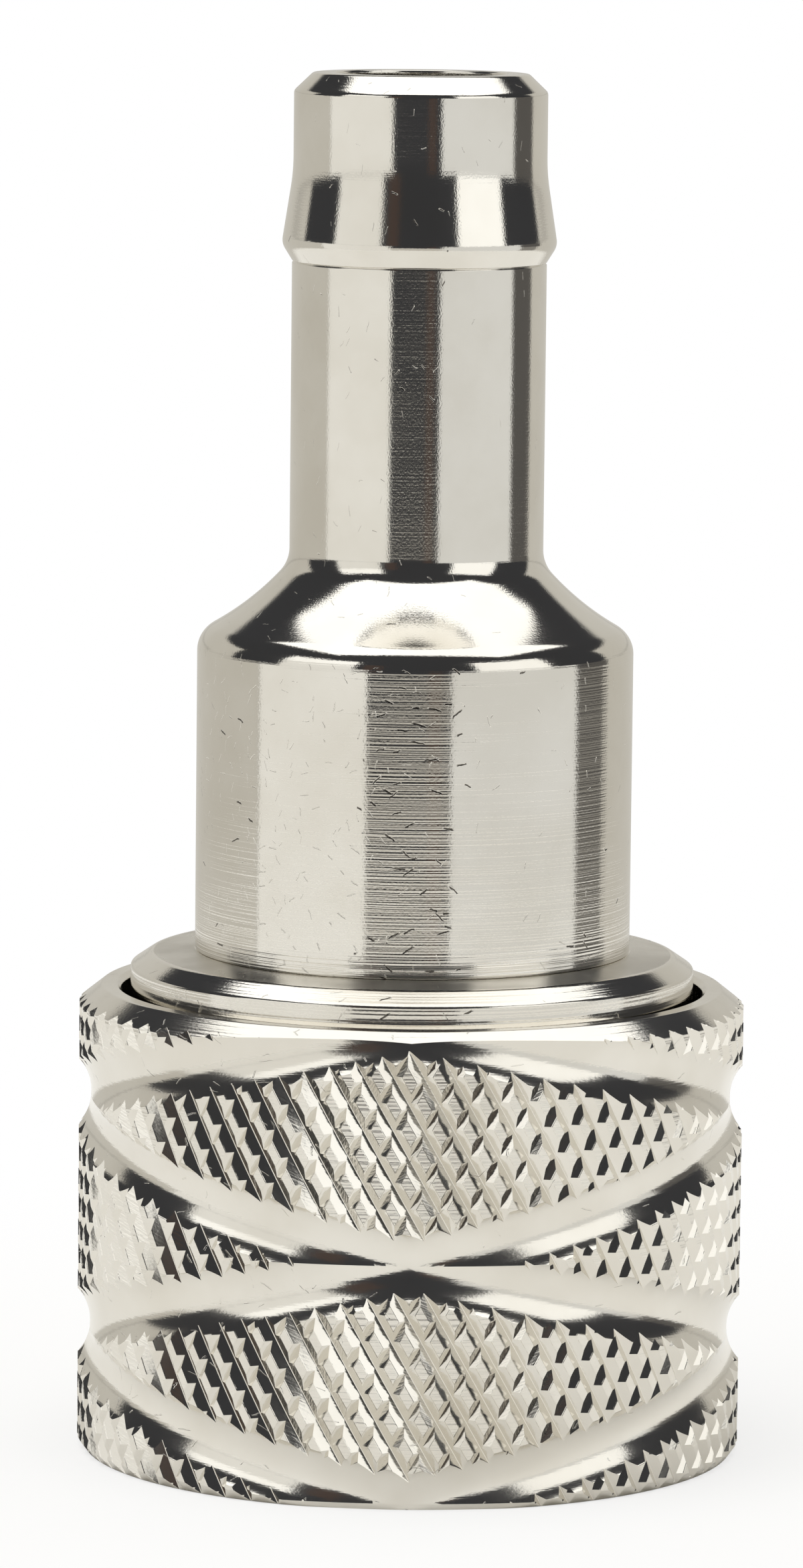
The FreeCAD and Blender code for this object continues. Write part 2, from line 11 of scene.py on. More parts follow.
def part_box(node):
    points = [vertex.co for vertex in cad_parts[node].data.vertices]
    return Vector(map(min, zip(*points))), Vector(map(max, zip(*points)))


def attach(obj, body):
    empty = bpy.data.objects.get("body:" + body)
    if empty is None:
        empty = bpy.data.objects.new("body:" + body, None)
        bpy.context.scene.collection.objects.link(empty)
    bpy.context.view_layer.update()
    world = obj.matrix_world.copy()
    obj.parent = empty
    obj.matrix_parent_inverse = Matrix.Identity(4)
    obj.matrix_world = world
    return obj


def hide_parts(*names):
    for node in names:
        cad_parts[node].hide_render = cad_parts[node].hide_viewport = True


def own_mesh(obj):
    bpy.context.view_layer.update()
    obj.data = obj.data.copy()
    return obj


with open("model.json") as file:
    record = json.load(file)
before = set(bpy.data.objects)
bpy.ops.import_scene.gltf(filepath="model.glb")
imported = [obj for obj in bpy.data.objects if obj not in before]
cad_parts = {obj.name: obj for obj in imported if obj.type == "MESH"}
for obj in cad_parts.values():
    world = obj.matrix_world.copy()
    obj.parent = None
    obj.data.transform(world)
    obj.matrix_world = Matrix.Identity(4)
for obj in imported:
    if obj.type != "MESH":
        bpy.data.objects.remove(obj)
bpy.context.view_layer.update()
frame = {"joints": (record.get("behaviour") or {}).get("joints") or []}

bl_info = {
    "name": "Fuel line quick coupling",
    "version": (1, 0, 0),
    "blender": (4, 5, 0),
    "location": "View3D > Sidebar > Coupling",
    "description": "Finished surfaces of a quick coupling with a knurled sleeve and a hose tail",
    "category": "Object",
}

# Lengths are metres. The axis is Z, the mouth is at z = 0 and azimuth 0 is the front, towards -Y,
# with azimuths growing towards +X.
MM = 0.001


def extent(node):
    """Outer radius, lowest and highest z of a node that is turned round the axis."""
    low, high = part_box(node)
    return high.x, low.z, high.z


def travel_of(name):
    """How far a sliding joint goes."""
    return next(joint for joint in frame["joints"] if joint["name"] == name)["range_m"][1]


cylinder_radius, flange_top, tail_top = extent("hose_tail")
flange_radius, mouth, spigot_top = extent("socket_body")
sleeve_radius, sleeve_foot, sleeve_top = extent("sleeve")
ring_radius, ring_low, ring_high = extent("retaining_ring")
washer_radius, washer_low, washer_high = extent("joint_seal")
guide_radius, guide_low, guide_high = extent("valve_guide")
head_radius, poppet_low, poppet_high = extent("valve_poppet")
valve_seal_radius, valve_seal_low, valve_seal_high = extent("valve_seal")


def size(millimetres, about):
    """A length that a user can change, given here in millimetres."""
    return bpy.props.FloatProperty(
        description=about, default=millimetres * MM, min=0,
        precision=5, unit="LENGTH", subtype="DISTANCE",
    )


def colour(red, green, blue, about):
    """A colour that a user can change."""
    return bpy.props.FloatVectorProperty(
        description=about, default=(red, green, blue, 1), min=0, max=1, size=4, subtype="COLOR"
    )


def share(value, about):
    """A plain number that a user can change."""
    return bpy.props.FloatProperty(description=about, default=value, min=0)


def count(value, about):
    """A whole number that a user can change."""
    return bpy.props.IntProperty(description=about, default=value, min=1)


def angle(degrees, about):
    """An angle that a user can change, given here in degrees."""
    return bpy.props.FloatProperty(
        description=about, default=math.radians(degrees), unit="ROTATION", subtype="ANGLE"
    )


class TailSizes(bpy.types.PropertyGroup):
    """Hose tail, from the tip down."""
    nose_length: size(3.78, "From the tip to the start of the barb")
    nose_step: size(0.025, "How much slimmer the nose is than the tube")
    tip_chamfer_height: size(0.7, "Height of the chamfer at the tip")
    tip_chamfer_width: size(0.73, "Width of the chamfer at the tip")
    barb_rise: size(0.4, "How far the barb stands out from the tube")
    barb_ramp: size(2.75, "Length of the barb's long side")
    barb_back: size(0.64, "Length of the barb's short side")
    tube_radius: size(4.875, "Outer radius of the tube")
    tube_wall: size(1.625, "Wall of the tube")
    fillet_radius: size(1.4, "Fillet between tube and shoulder")
    fillet_turn: angle(43.0, "How far the fillet turns")
    shoulder_turn: angle(60.0, "How far the shoulder turns in all")
    shoulder_round: size(1.15, "Round between shoulder and cylinder")
    cylinder_length: size(11.55, "Length of the wide cylinder")
    cylinder_wall: size(1.11, "Wall of the cylinder at the thread")
    chamber_radius: size(5.9, "Radius of the chamber above the washer")
    chamber_length: size(2.3, "Length of that chamber")
    taper_length: size(2.6, "Length of the taper up to the tube's bore")
    ease: size(0.1, "How far the tail's edges are eased")
    lip_ease: size(0.3, "How far the barb's lip is eased")
    foot_ease: size(0.02, "How far the foot of the barb is eased")
    foot_mark: size(0.045, "Depth of the tool's mark at the foot of the barb")
    nose_ease: size(0.6, "How far the barb runs smoothly into the nose")


class SocketSizes(bpy.types.PropertyGroup):
    """Socket body, from the mouth up."""
    mouth_chamfer: size(0.6, "Chamfer at the mouth of the bore")
    bore_radius: size(6.0, "Radius of the bore that takes the plug")
    neck_radius: size(8.7, "Outer radius of the neck")
    nose_chamfer: size(0.25, "Chamfer outside the mouth")
    nose_land: size(0.8, "Land between the mouth and the ring groove")
    ring_groove_depth: size(0.65, "Depth of the ring groove")
    ring_gap: size(0.04, "Clearance each side of the ring")
    undercut_depth: size(0.2, "Depth of the relief below the flange")
    undercut_height: size(1.2, "Height of the relief below the flange")
    flange_thickness: size(2.45, "Thickness of the flange")
    flange_flat: size(1.74, "Width of the flange's face round the cylinder")
    flange_drop: size(0.15, "How far that face falls outwards")
    flange_bevel: size(0.5, "Height of the flange's bevel")
    relief_depth: size(0.2, "Depth of the relief in the bore at the balls")
    seal_land: size(1.25, "Land between the ball pockets and the seal groove")
    seal_groove_depth: size(1.35, "Depth of the seal groove")
    seal_groove_width: size(2.1, "Width of the seal groove")
    throat_land: size(1.05, "Land above the seal groove")
    throat_step: size(1.6, "How far the throat stands in from the bore")
    throat_length: size(1.2, "Length of the throat")
    fit_gap: size(0.03, "Clearance of the spigot in its thread and of the valve guide in its seat")
    ease: size(0.08, "How far the socket's edges are eased")


class SleeveSizes(bpy.types.PropertyGroup):
    """Knurled sleeve."""
    bore_radius: size(11.22, "Radius of the bore round the spring")
    guide_radius: size(8.75, "Radius that slides on the neck")
    spring_seat: size(7.6, "Height of the spring's seat")
    ramp_radius: size(9.54, "Radius of the ball ramp at its foot")
    recess_radius: size(10.4, "Radius of the recess for the ring")
    recess_height: size(1.76, "Height of the recess for the ring")
    recess_edge: size(0.25, "Chamfer of the recess")
    top_chamfer_height: size(0.68, "Height of the chamfer at the top")
    top_chamfer_width: size(0.86, "Width of the chamfer at the top")
    foot_chamfer_height: size(0.4, "Height of the chamfer at the foot")
    foot_chamfer_width: size(0.29, "Width of the chamfer at the foot")
    bore_edge: size(0.18, "Chamfer of the bore at the top")
    ease: size(0.06, "How far the sleeve's edges are eased")
    knurl_lines: count(70, "Knurl pitches round the sleeve")
    knurl_depth: size(0.27, "Depth of the knurl below its lands")
    knurl_height: size(2.0, "Height of one knurl diamond")
    land_left: share(0.33, "Left edge of a knurl land, as a share of its cell")
    land_right: share(0.645, "Right edge of a knurl land, as a share of its cell")
    land_low: share(0.32, "Lower edge of a knurl land, as a share of its cell")
    land_high: share(0.88, "Upper edge of a knurl land, as a share of its cell")
    cross_share: share(0.70, "Depth of the knurl's grooves that lean right")
    cross_line: share(0.10, "Where those grooves lie, as a share of a cell")
    knurl_floor: share(0.03, "Width of the deeper grooves' floors as a share of a cell")
    groove_width: size(2.42, "Width of the winding grooves")
    groove_depth: size(0.48, "Depth of the winding grooves")
    groove_lead: size(18.06, "Rise of a groove in one turn")
    groove_starts: count(2, "Grooves that wind each way")
    crossing_height: size(9.25, "Height at which the grooves cross in front")


class ValveSizes(bpy.types.PropertyGroup):
    """Poppet, its guide, the springs, the ring and the balls."""
    button_radius: size(1.6, "Radius of the poppet's button")
    button_length: size(1.6, "Length of the poppet's button")
    disc_radius: size(4.0, "Radius of the disc below the seal")
    disc_length: size(1.3, "Thickness of that disc")
    groove_width: size(1.5, "Width of the poppet's seal groove")
    seal_gap: size(0.02, "Clearance between the poppet's seal and its groove's floor")
    head_length: size(1.4, "Thickness of the poppet's head")
    boss_radius: size(3.1, "Radius of the boss inside the spring")
    boss_length: size(1.2, "Length of that boss")
    stem_radius: size(1.55, "Radius of the poppet's stem")
    stem_clearance: size(0.06, "Clearance round the stem")
    rim_inset: size(1.2, "Wall of the guide's rim")
    rim_thickness: size(1.6, "Thickness of the guide's rim and webs")
    hub_wall: size(1.19, "Wall of the guide's hub")
    web_width: size(1.8, "Width of the guide's webs")
    web_drop: size(0.01, "How far the webs stay below the rim's face")
    return_wire: size(1.0, "Wire of the sleeve's spring")
    return_turns: share(4.75, "Turns of the sleeve's spring")
    valve_wire: size(0.7, "Wire of the valve's spring")
    valve_turns: share(6.5, "Turns of the valve's spring")
    ring_width: size(2.11, "Radial width of the snap ring")
    ring_opening: size(3.0, "Gap between the snap ring's ends")
    ball_count: count(8, "Locking balls round the neck")
    ball_radius: size(1.75, "Radius of a locking ball")
    ball_height: size(5.2, "Height of the balls above the mouth")
    ball_clearance: size(0.05, "Clearance of a ball in its pocket")
    washer_step: size(0.1, "How much wider the washer's hole is than the chamber")
    ease: size(0.08, "How far the small pieces' edges are eased")


class Finishes(bpy.types.PropertyGroup):
    """Colours and roughness."""
    plating: colour(0.80, 0.775, 0.72, "Bright nickel plating")
    brass: colour(0.72, 0.52, 0.25, "Bare turned brass")
    steel: colour(0.56, 0.56, 0.55, "Spring wire")
    ball: colour(0.70, 0.70, 0.70, "Polished balls")
    rubber: colour(0.018, 0.018, 0.02, "Seal rings")
    washer: colour(0.30, 0.075, 0.03, "Fibre sealing washer")
    polished_roughness: share(0.08, "Roughness of tube and shoulder")
    turned_roughness: share(0.07, "Roughness of the cylinder")
    socket_roughness: share(0.10, "Roughness of the socket body")
    satin_roughness: share(0.30, "Roughness of the flange's face")
    knurl_roughness: share(0.12, "Roughness of the knurl's sides and the winding grooves")
    rim_roughness: share(0.12, "Roughness of the sleeve's top chamfer")
    land_roughness: share(0.2, "Roughness of the knurl's lands")


class StudioSettings(bpy.types.PropertyGroup):
    """Camera, floor and surroundings."""
    distance: size(309.6, "From the camera to the point that it looks at")
    aim_side: size(0.477, "How far left of the axis the camera looks")
    aim_height: size(25.85, "Height that the camera looks at")
    pitch: angle(7.05, "How far the camera looks down")
    roll: angle(0.6, "How far the camera leans")
    focal: share(184.3, "Focal length in millimetres on a 36 mm sensor")
    floor_reach: size(4000.0, "How far the floor reaches each way")
    shine_reach: size(130.0, "How far from the part the floor shows in its reflections")
    shadow_share: share(0.3, "How much of the part's shadow shows on the floor near it")
    key_strength: share(1.6, "Strength of the soft light from above")
    key_spread: angle(50.0, "How wide that light is")
    key_tilt: angle(12.0, "How far it comes from the front")
    key_lean: angle(-10.0, "How far it comes from the side")


SIZE_GROUPS = {
    "tail_sizes": TailSizes,
    "socket_sizes": SocketSizes,
    "sleeve_sizes": SleeveSizes,
    "valve_sizes": ValveSizes,
    "finishes": Finishes,
    "studio": StudioSettings,
}


# Outlines, as rows of (radius, height)

def arc(centre, radius, start, end, steps):
    """Points on a circle's arc about a centre, between two angles in radians."""
    turn = np.linspace(start, end, steps + 1)
    return np.column_stack((centre[0] + radius * np.cos(turn), centre[1] + radius * np.sin(turn)))


# The most of a side that an eased corner takes, and how far from a corner, in its reaches, the flat
# beside it is held
SIDE_SHARE = 0.32
HOLD = 1.5


def eased(corners, reach, closed=True, steps=6, least_turn=math.radians(15)):
    """The outline with each sharp corner replaced by a small curve.

    The curve is the parabola that touches both sides at a distance reach from the corner, where
    reach is one length or one for each corner. One more point beyond each end of it holds the
    flats flat when the surface is shaded smooth.
    """
    corners = [np.array(c, float) for c in corners]
    reaches = np.broadcast_to(reach, len(corners))
    along = np.linspace(0, 1, steps + 1)[:, None]
    rows = []
    for i, corner in enumerate(corners):
        ends = i in (0, len(corners) - 1) and not closed
        before = corners[i - 1] - corner
        after = corners[(i + 1) % len(corners)] - corner
        near, far = np.linalg.norm(before), np.linalg.norm(after)
        before, after = before / near, after / far
        turn = math.pi - math.acos(np.clip(before @ after, -1, 1))
        if ends or turn < least_turn:
            rows.append(corner[None])
            continue
        touch = min(reaches[i], SIDE_SHARE * near, SIDE_SHARE * far)
        first, last = corner + touch * before, corner + touch * after
        curve = (1 - along) ** 2 * first + 2 * along * (1 - along) * corner + along**2 * last
        rows.append(corner[None] + HOLD * touch * before[None])
        rows.append(curve)
        rows.append(corner[None] + HOLD * touch * after[None])
    return np.concatenate(rows)


def rectangle(inner, outer, low, high):
    """The corners of a rectangle between two radii and two heights."""
    return np.array([(inner, low), (outer, low), (outer, high), (inner, high)])


# Meshes

def grid_faces(rows, columns, closed_rows, closed_columns):
    """Quads of a grid whose points are numbered row by row."""
    i = np.arange(rows if closed_rows else rows - 1)[:, None]
    j = np.arange(columns if closed_columns else columns - 1)[None]
    up, right = (i + 1) % rows, (j + 1) % columns
    corners = (i * columns + j, i * columns + right, up * columns + right, up * columns + j)
    return np.stack(corners, axis=-1).reshape(-1, 4)


def new_object(name, vertices, faces):
    """A closed mesh object with its doubles merged and its faces pointing outwards."""
    mesh = bpy.data.meshes.new(name)
    mesh.from_pydata(np.asarray(vertices).tolist(), [], [list(f) for f in faces])
    edit = bmesh.new()
    edit.from_mesh(mesh)
    bmesh.ops.remove_doubles(edit, verts=edit.verts, dist=1e-8)
    loose = [corner for corner in edit.verts if not corner.link_faces]
    bmesh.ops.delete(edit, geom=loose, context="VERTS")
    bmesh.ops.recalc_face_normals(edit, faces=edit.faces)
    edit.to_mesh(mesh)
    edit.free()
    piece = bpy.data.objects.new(name, mesh)
    bpy.context.scene.collection.objects.link(piece)
    return piece


def around(radius, azimuth, height):
    """Points round the axis: x = r sin a, y = -r cos a, z = height."""
    place = (radius * np.sin(azimuth), -radius * np.cos(azimuth), height)
    return np.stack(np.broadcast_arrays(*place), axis=-1)


def turned(name, outline, segments=256, closed=True):
    """The surface that an outline sweeps round the axis."""
    azimuths = np.linspace(0, 2 * math.pi, segments, endpoint=False)
    points = around(outline[:, 0][:, None], azimuths, outline[:, 1][:, None]).reshape(-1, 3)
    return new_object(name, points, grid_faces(len(outline), segments, closed, True))


def swept(name, centres, sides, normals, section):
    """A closed tube: a flat section carried along a path.

    At each path point the section's first measure runs along sides and its second along normals.
    """
    across, up = section[None, :, 0, None], section[None, :, 1, None]
    points = centres[:, None] + (across * sides[:, None] + up * normals[:, None])
    corners = len(section)
    faces = grid_faces(len(centres), corners, False, True).tolist()
    last = len(centres) * corners
    faces += [list(range(corners)), list(range(last - corners, last))]
    return new_object(name, points.reshape(-1, 3), faces)


def carve(piece, cutter, operation):
    """Join, take out or keep in common another closed solid, which is used up."""
    step = piece.modifiers.new("carve", "BOOLEAN")
    step.object = cutter
    step.operation = operation
    step.solver = "MANIFOLD"
    view = bpy.context.evaluated_depsgraph_get()
    mesh = bpy.data.meshes.new_from_object(piece.evaluated_get(view))
    piece.modifiers.clear()
    piece.data = mesh
    bpy.data.objects.remove(cutter)
    if not mesh.polygons:
        raise RuntimeError(f"{piece.name} has nothing left")
    return piece


def finished(piece, material, body, nodes, crease=30.0):
    """Shade a piece smooth but for its creases, give it its finish and seat it on its body."""
    piece.data.shade_smooth()
    piece.data.set_sharp_from_angle(angle=math.radians(crease))
    piece.data.materials.clear()
    piece.data.materials.append(material)
    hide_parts(*nodes)
    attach(piece, body)
    return piece


# Shader nodes

def put(tree, socket, value):
    """Set an input to a number or colour, or link it."""
    if isinstance(value, bpy.types.NodeSocket):
        tree.links.new(value, socket)
    else:
        socket.default_value = value


def node(tree, kind, inputs=None, **settings):
    """A node with its settings and inputs."""
    made = tree.nodes.new(kind)
    for name, value in settings.items():
        setattr(made, name, value)
    for name, value in (inputs or {}).items():
        put(tree, made.inputs[name], value)
    return made


def maths(tree, operation, *terms):
    """The result of a math node."""
    return node(tree, "ShaderNodeMath", dict(enumerate(terms)), operation=operation).outputs[0]


def vectors(tree, operation, *terms):
    """The result of a vector math node."""
    return node(tree, "ShaderNodeVectorMath", dict(enumerate(terms)), operation=operation).outputs[0]


def azimuth_of(tree, axes):
    """The azimuth of a place or direction, in radians."""
    return maths(tree, "ARCTAN2", axes["X"], maths(tree, "MULTIPLY", axes["Y"], -1.0))


def noise(tree, place, scale, detail, roughness=0.5, dimensions="2D"):
    """A noise node's outputs, its value first."""
    inputs = {"Vector": place, "Scale": scale, "Detail": detail, "Roughness": roughness}
    return node(tree, "ShaderNodeTexNoise", inputs, noise_dimensions=dimensions).outputs


def ramp(tree, value, low, high, start=0.0, end=1.0):
    """A smooth change from start to end while value goes from low to high."""
    inputs = {"Value": value, "From Min": low, "From Max": high, "To Min": start, "To Max": end}
    return node(tree, "ShaderNodeMapRange", inputs, interpolation_type="SMOOTHSTEP").outputs[0]


def between(tree, value, low, high, soft):
    """One between low and high, and nought outside, with soft edges."""
    rise = ramp(tree, value, low - soft, low + soft)
    fall = ramp(tree, value, high - soft, high + soft, 1.0, 0.0)
    return maths(tree, "MULTIPLY", rise, fall)


def blended(tree, factor, first, second, blend="MIX"):
    """Two colours mixed."""
    made = node(tree, "ShaderNodeMix", data_type="RGBA", blend_type=blend)
    for place, value in ((0, factor), (6, first), (7, second)):
        put(tree, made.inputs[place], value)
    return made.outputs[2]


def mixed(tree, factor, first, second):
    """Two shaders mixed."""
    return node(tree, "ShaderNodeMixShader", {0: factor, 1: first, 2: second}).outputs[0]


def group(name, inputs, outputs):
    """An empty node group with its sockets, and its input and output nodes."""
    tree = bpy.data.node_groups.new(name, "ShaderNodeTree")
    kinds = {"vector": "NodeSocketVector", "value": "NodeSocketFloat", "colour": "NodeSocketColor"}
    for label, kind in inputs.items():
        tree.interface.new_socket(label, in_out="INPUT", socket_type=kinds[kind])
    for label, kind in outputs.items():
        tree.interface.new_socket(label, in_out="OUTPUT", socket_type=kinds[kind])
    return tree, tree.nodes.new("NodeGroupInput").outputs, tree.nodes.new("NodeGroupOutput").inputs


def placed(tree, made, **inputs):
    """A node group placed in a material, with its inputs by name."""
    use = tree.nodes.new("ShaderNodeGroup")
    use.node_tree = made
    for name, value in inputs.items():
        put(tree, use.inputs[name.replace("_", " ").capitalize()], value)
    return use.outputs


# The radius in millimetres at which the unrolled map is true, how often in a millimetre a turning
# line changes on its way round, and how far in millimetres a nick wanders from a straight line
MAP_RADIUS = 8.4
RING_CHANGE = 0.09
WANDER = 0.09
DULL_PLATING = (0.62, 0.58, 0.50, 1)


def unrolled_group():
    """Places in millimetres on a flat map of the part, and their radius and height.

    Round is the azimuth times the map's radius, and the map's other axis, down the surface, is the
    height less the radius.
    """
    tree, given, result = group(
        "Unrolled", {"Vector": "vector"},
        {"Place": "vector", "Round": "value", "Radius": "value", "Height": "value"},
    )
    axes = node(tree, "ShaderNodeSeparateXYZ", {0: given["Vector"]}).outputs
    across = maths(tree, "MULTIPLY", azimuth_of(tree, axes), MAP_RADIUS)
    squares = [maths(tree, "MULTIPLY", axes[name], axes[name]) for name in "XY"]
    radius = maths(tree, "SQRT", maths(tree, "ADD", *squares))
    radius = maths(tree, "MULTIPLY", radius, 1.0 / MM)
    height = maths(tree, "MULTIPLY", axes["Z"], 1.0 / MM)
    down = maths(tree, "SUBTRACT", height, radius)
    place = node(tree, "ShaderNodeCombineXYZ", {"X": across, "Y": down}).outputs[0]
    measures = {"Place": place, "Round": across, "Radius": radius, "Height": height}
    for name, value in measures.items():
        put(tree, result[name], value)
    return tree


def turning_group():
    """Fine lathe rings: noise that changes quickly down the surface and slowly round it."""
    tree, given, result = group(
        "Turning lines", {"Place": "vector", "Spacing": "value"}, {"Height": "value"}
    )
    axes = node(tree, "ShaderNodeSeparateXYZ", {0: given["Place"]}).outputs
    across = maths(tree, "MULTIPLY", axes["X"], RING_CHANGE)
    down = maths(tree, "DIVIDE", axes["Y"], given["Spacing"])
    place = node(tree, "ShaderNodeCombineXYZ", {"X": across, "Y": down}).outputs[0]
    put(tree, result["Height"], noise(tree, place, 1.0, 1.0)[0])
    return tree


def nick_group():
    """Short thin lines: one in each cell of a random net, turned up to half of Lean either way.

    Each is between half and the whole of Length, fades out at its ends, and wanders a little. Only
    the stated Share of the cells has one.
    """
    measures = ("Cell", "Length", "Width", "Lean", "Share", "Seed")
    tree, given, result = group(
        "Nicks", {"Place": "vector", **dict.fromkeys(measures, "value")}, {"Mask": "value"}
    )
    shift = node(tree, "ShaderNodeCombineXYZ", {"X": given["Seed"], "Y": given["Seed"]}).outputs[0]
    place = vectors(tree, "ADD", given["Place"], shift)
    wander = noise(tree, place, 4.0, 2.0)["Color"]
    wander = vectors(tree, "MULTIPLY_ADD", wander, (WANDER, WANDER, 0.0), place)
    scale = maths(tree, "DIVIDE", 1.0, given["Cell"])
    net = node(
        tree, "ShaderNodeTexVoronoi", {"Vector": place, "Scale": scale}, voronoi_dimensions="2D"
    ).outputs
    local = vectors(tree, "SUBTRACT", wander, net["Position"])
    chance = node(tree, "ShaderNodeSeparateColor", {0: net["Color"]}).outputs
    turn = maths(tree, "MULTIPLY", maths(tree, "SUBTRACT", chance["Red"], 0.5), given["Lean"])
    line = node(
        tree, "ShaderNodeVectorRotate", {"Vector": local, "Angle": turn}, rotation_type="Z_AXIS"
    ).outputs[0]
    axes = node(tree, "ShaderNodeSeparateXYZ", {0: line}).outputs
    half_length = ramp(tree, chance["Green"], 0.0, 1.0, 0.25, 0.5)
    reach = maths(tree, "MULTIPLY", given["Length"], half_length)
    along = maths(tree, "DIVIDE", maths(tree, "ABSOLUTE", axes["X"]), reach)
    across = maths(tree, "DIVIDE", maths(tree, "ABSOLUTE", axes["Y"]), given["Width"])
    lengthwise = ramp(tree, along, 0.6, 1.0, 1.0, 0.0)
    crosswise = ramp(tree, across, 0.2, 0.5, 1.0, 0.0)
    mask = maths(tree, "MULTIPLY", lengthwise, crosswise)
    chosen = maths(tree, "LESS_THAN", chance["Blue"], given["Share"])
    put(tree, result["Mask"], maths(tree, "MULTIPLY", mask, chosen))
    return tree


def tone_group():
    """Slow drift of the plating's colour and gloss over a few millimetres."""
    tree, given, result = group(
        "Plating tone",
        {"Vector": "vector", "Base": "colour", "Drift": "value"},
        {"Colour": "colour", "Gloss": "value"},
    )
    drift = noise(tree, given["Vector"], 220.0, 4.0, 0.55, "3D")[0]
    swing = ramp(tree, drift, 0.3, 0.7)
    dull = blended(tree, given["Drift"], given["Base"], DULL_PLATING)
    put(tree, result["Colour"], blended(tree, swing, given["Base"], dull))
    put(tree, result["Gloss"], swing)
    return tree


def new_material(name):
    """An empty material with its shader."""
    material = bpy.data.materials.new(name)
    material.use_nodes = True
    tree = material.node_tree
    shader = tree.nodes["Principled BSDF"]
    place = tree.nodes.new("ShaderNodeTexCoord").outputs["Object"]
    return material, tree, shader.inputs, place


def bumped(tree, height, distance, normal=None):
    """A bump of full strength, over an earlier normal where one is given."""
    inputs = {"Height": height, "Distance": distance, "Strength": 1.0}
    if normal is not None:
        inputs["Normal"] = normal
    return node(tree, "ShaderNodeBump", inputs).outputs[0]


class Effects:
    """The node groups that the materials share, built once."""

    def __init__(self):
        self.unrolled = unrolled_group()
        self.turning = turning_group()
        self.nicks = nick_group()
        self.tone = tone_group()


Zone = namedtuple("Zone", "measure low high soft roughness ring_depth nicks dents")

# Nicks lie every way, and dents are wider and nearer to level. Lengths are millimetres, and leans
# are in radians
NICKS = {"cell": 0.5, "length": 0.5, "width": 0.045, "lean": 4.4, "seed": 3.0}
DENTS = {"cell": 0.6, "length": 0.6, "width": 0.08, "lean": 1.6, "seed": 41.0}
NICK_DEPTH, DENT_DEPTH, SPECKLE_DEPTH = 0.007 * MM, 0.01 * MM, 0.0018 * MM
# The near black painted into the dents as painted shade, a painted dark reflection, and how far they
# take it
DENT_PAINTED_SHADE, DENT_PAINTED_SHADE_SHARE = (0.07, 0.06, 0.05, 1), 0.9
TONE_DRIFT = 0.35

# Where the marks lie, in millimetres round the part from the front. Nicks go from their full share
# at the first place to a quarter of it at the second. Dents keep to a strip with soft edges, and
# few lie outside it. The strip is where the part mirrors the room's dark front, and the near black
# painted into the dents there is painted shade, a dark reflection painted in
NICK_FADE = (-3.0, 1.5, 1.0, 0.25)
DENT_STRIP = (-2.0, 1.8, 0.3)
STRAY_DENTS = 0.03


def plated_material(name, effects, looks, roughness, ring_depth, ring_spacing, nicks, dents, zones):
    """Bright nickel over turned brass, with lathe rings, fine nicks and a few dents with painted
    shade in them.

    Ring depth and spacing are millimetres; nicks and dents are the shares of cells that have one.
    A zone lies where its measure, Radius or Height in millimetres, is between low and high, and
    has values of its own.
    """
    material, tree, shader, place = new_material(name)
    flat = placed(tree, effects.unrolled, vector=place)
    tone = placed(tree, effects.tone, vector=place, base=looks.plating, drift=TONE_DRIFT)
    insides = [between(tree, flat[zone.measure], zone.low, zone.high, zone.soft) for zone in zones]

    def zoned(base, quality):
        """The base value, changed inside each zone to the zone's own."""
        value = base
        for zone, inside in zip(zones, insides):
            extra = maths(tree, "MULTIPLY", inside, getattr(zone, quality) - base)
            value = maths(tree, "ADD", extra, value)
        return value

    rings = placed(tree, effects.turning, place=flat["Place"], spacing=ring_spacing)["Height"]
    worn = ramp(tree, flat["Round"], *NICK_FADE)
    worn = maths(tree, "MULTIPLY", worn, zoned(nicks, "nicks"))
    marks = placed(tree, effects.nicks, place=flat["Place"], share=worn, **NICKS)["Mask"]
    strip = maths(tree, "ADD", between(tree, flat["Round"], *DENT_STRIP), STRAY_DENTS)
    struck = maths(tree, "MULTIPLY", strip, zoned(dents, "dents"))
    deep = placed(tree, effects.nicks, place=flat["Place"], share=struck, **DENTS)["Mask"]
    speckle = noise(tree, flat["Place"], 9.0, 2.0)[0]
    ring_height = maths(tree, "MULTIPLY", rings, zoned(ring_depth, "ring_depth"))
    normal = bumped(tree, speckle, SPECKLE_DEPTH)
    normal = bumped(tree, ring_height, MM, normal)
    normal = bumped(tree, maths(tree, "MULTIPLY", marks, -1.0), NICK_DEPTH, normal)
    normal = bumped(tree, maths(tree, "MULTIPLY", deep, -1.0), DENT_DEPTH, normal)
    # Painted shade: each dent's colour goes most of the way to near black, a dark reflection painted
    # in
    dent_painted_shade = maths(tree, "MULTIPLY", deep, DENT_PAINTED_SHADE_SHARE)
    put(tree, shader["Base Color"], blended(tree, dent_painted_shade, tone["Colour"], DENT_PAINTED_SHADE))
    gloss = ramp(tree, tone["Gloss"], 0.0, 1.0, 0.9, 1.25)
    put(tree, shader["Roughness"], maths(tree, "MULTIPLY", gloss, zoned(roughness, "roughness")))
    put(tree, shader["Normal"], normal)
    shader["Metallic"].default_value = 1.0
    return material


def plain_material(effects, name, base, metallic, roughness, drift, ring_depth, ring_spacing):
    """A simple finish with a drift in tone, and with rings where their depth isn't nought.

    Ring depth and spacing are millimetres.
    """
    material, tree, shader, place = new_material(name)
    tone = placed(tree, effects.tone, vector=place, base=base, drift=drift)
    put(tree, shader["Base Color"], tone["Colour"])
    rough = ramp(tree, tone["Gloss"], 0.0, 1.0, roughness * 0.9, roughness * 1.2)
    put(tree, shader["Roughness"], rough)
    if ring_depth:
        flat = placed(tree, effects.unrolled, vector=place)["Place"]
        rings = placed(tree, effects.turning, place=flat, spacing=ring_spacing)["Height"]
        put(tree, shader["Normal"], bumped(tree, rings, ring_depth * MM))
    shader["Metallic"].default_value = metallic
    return material


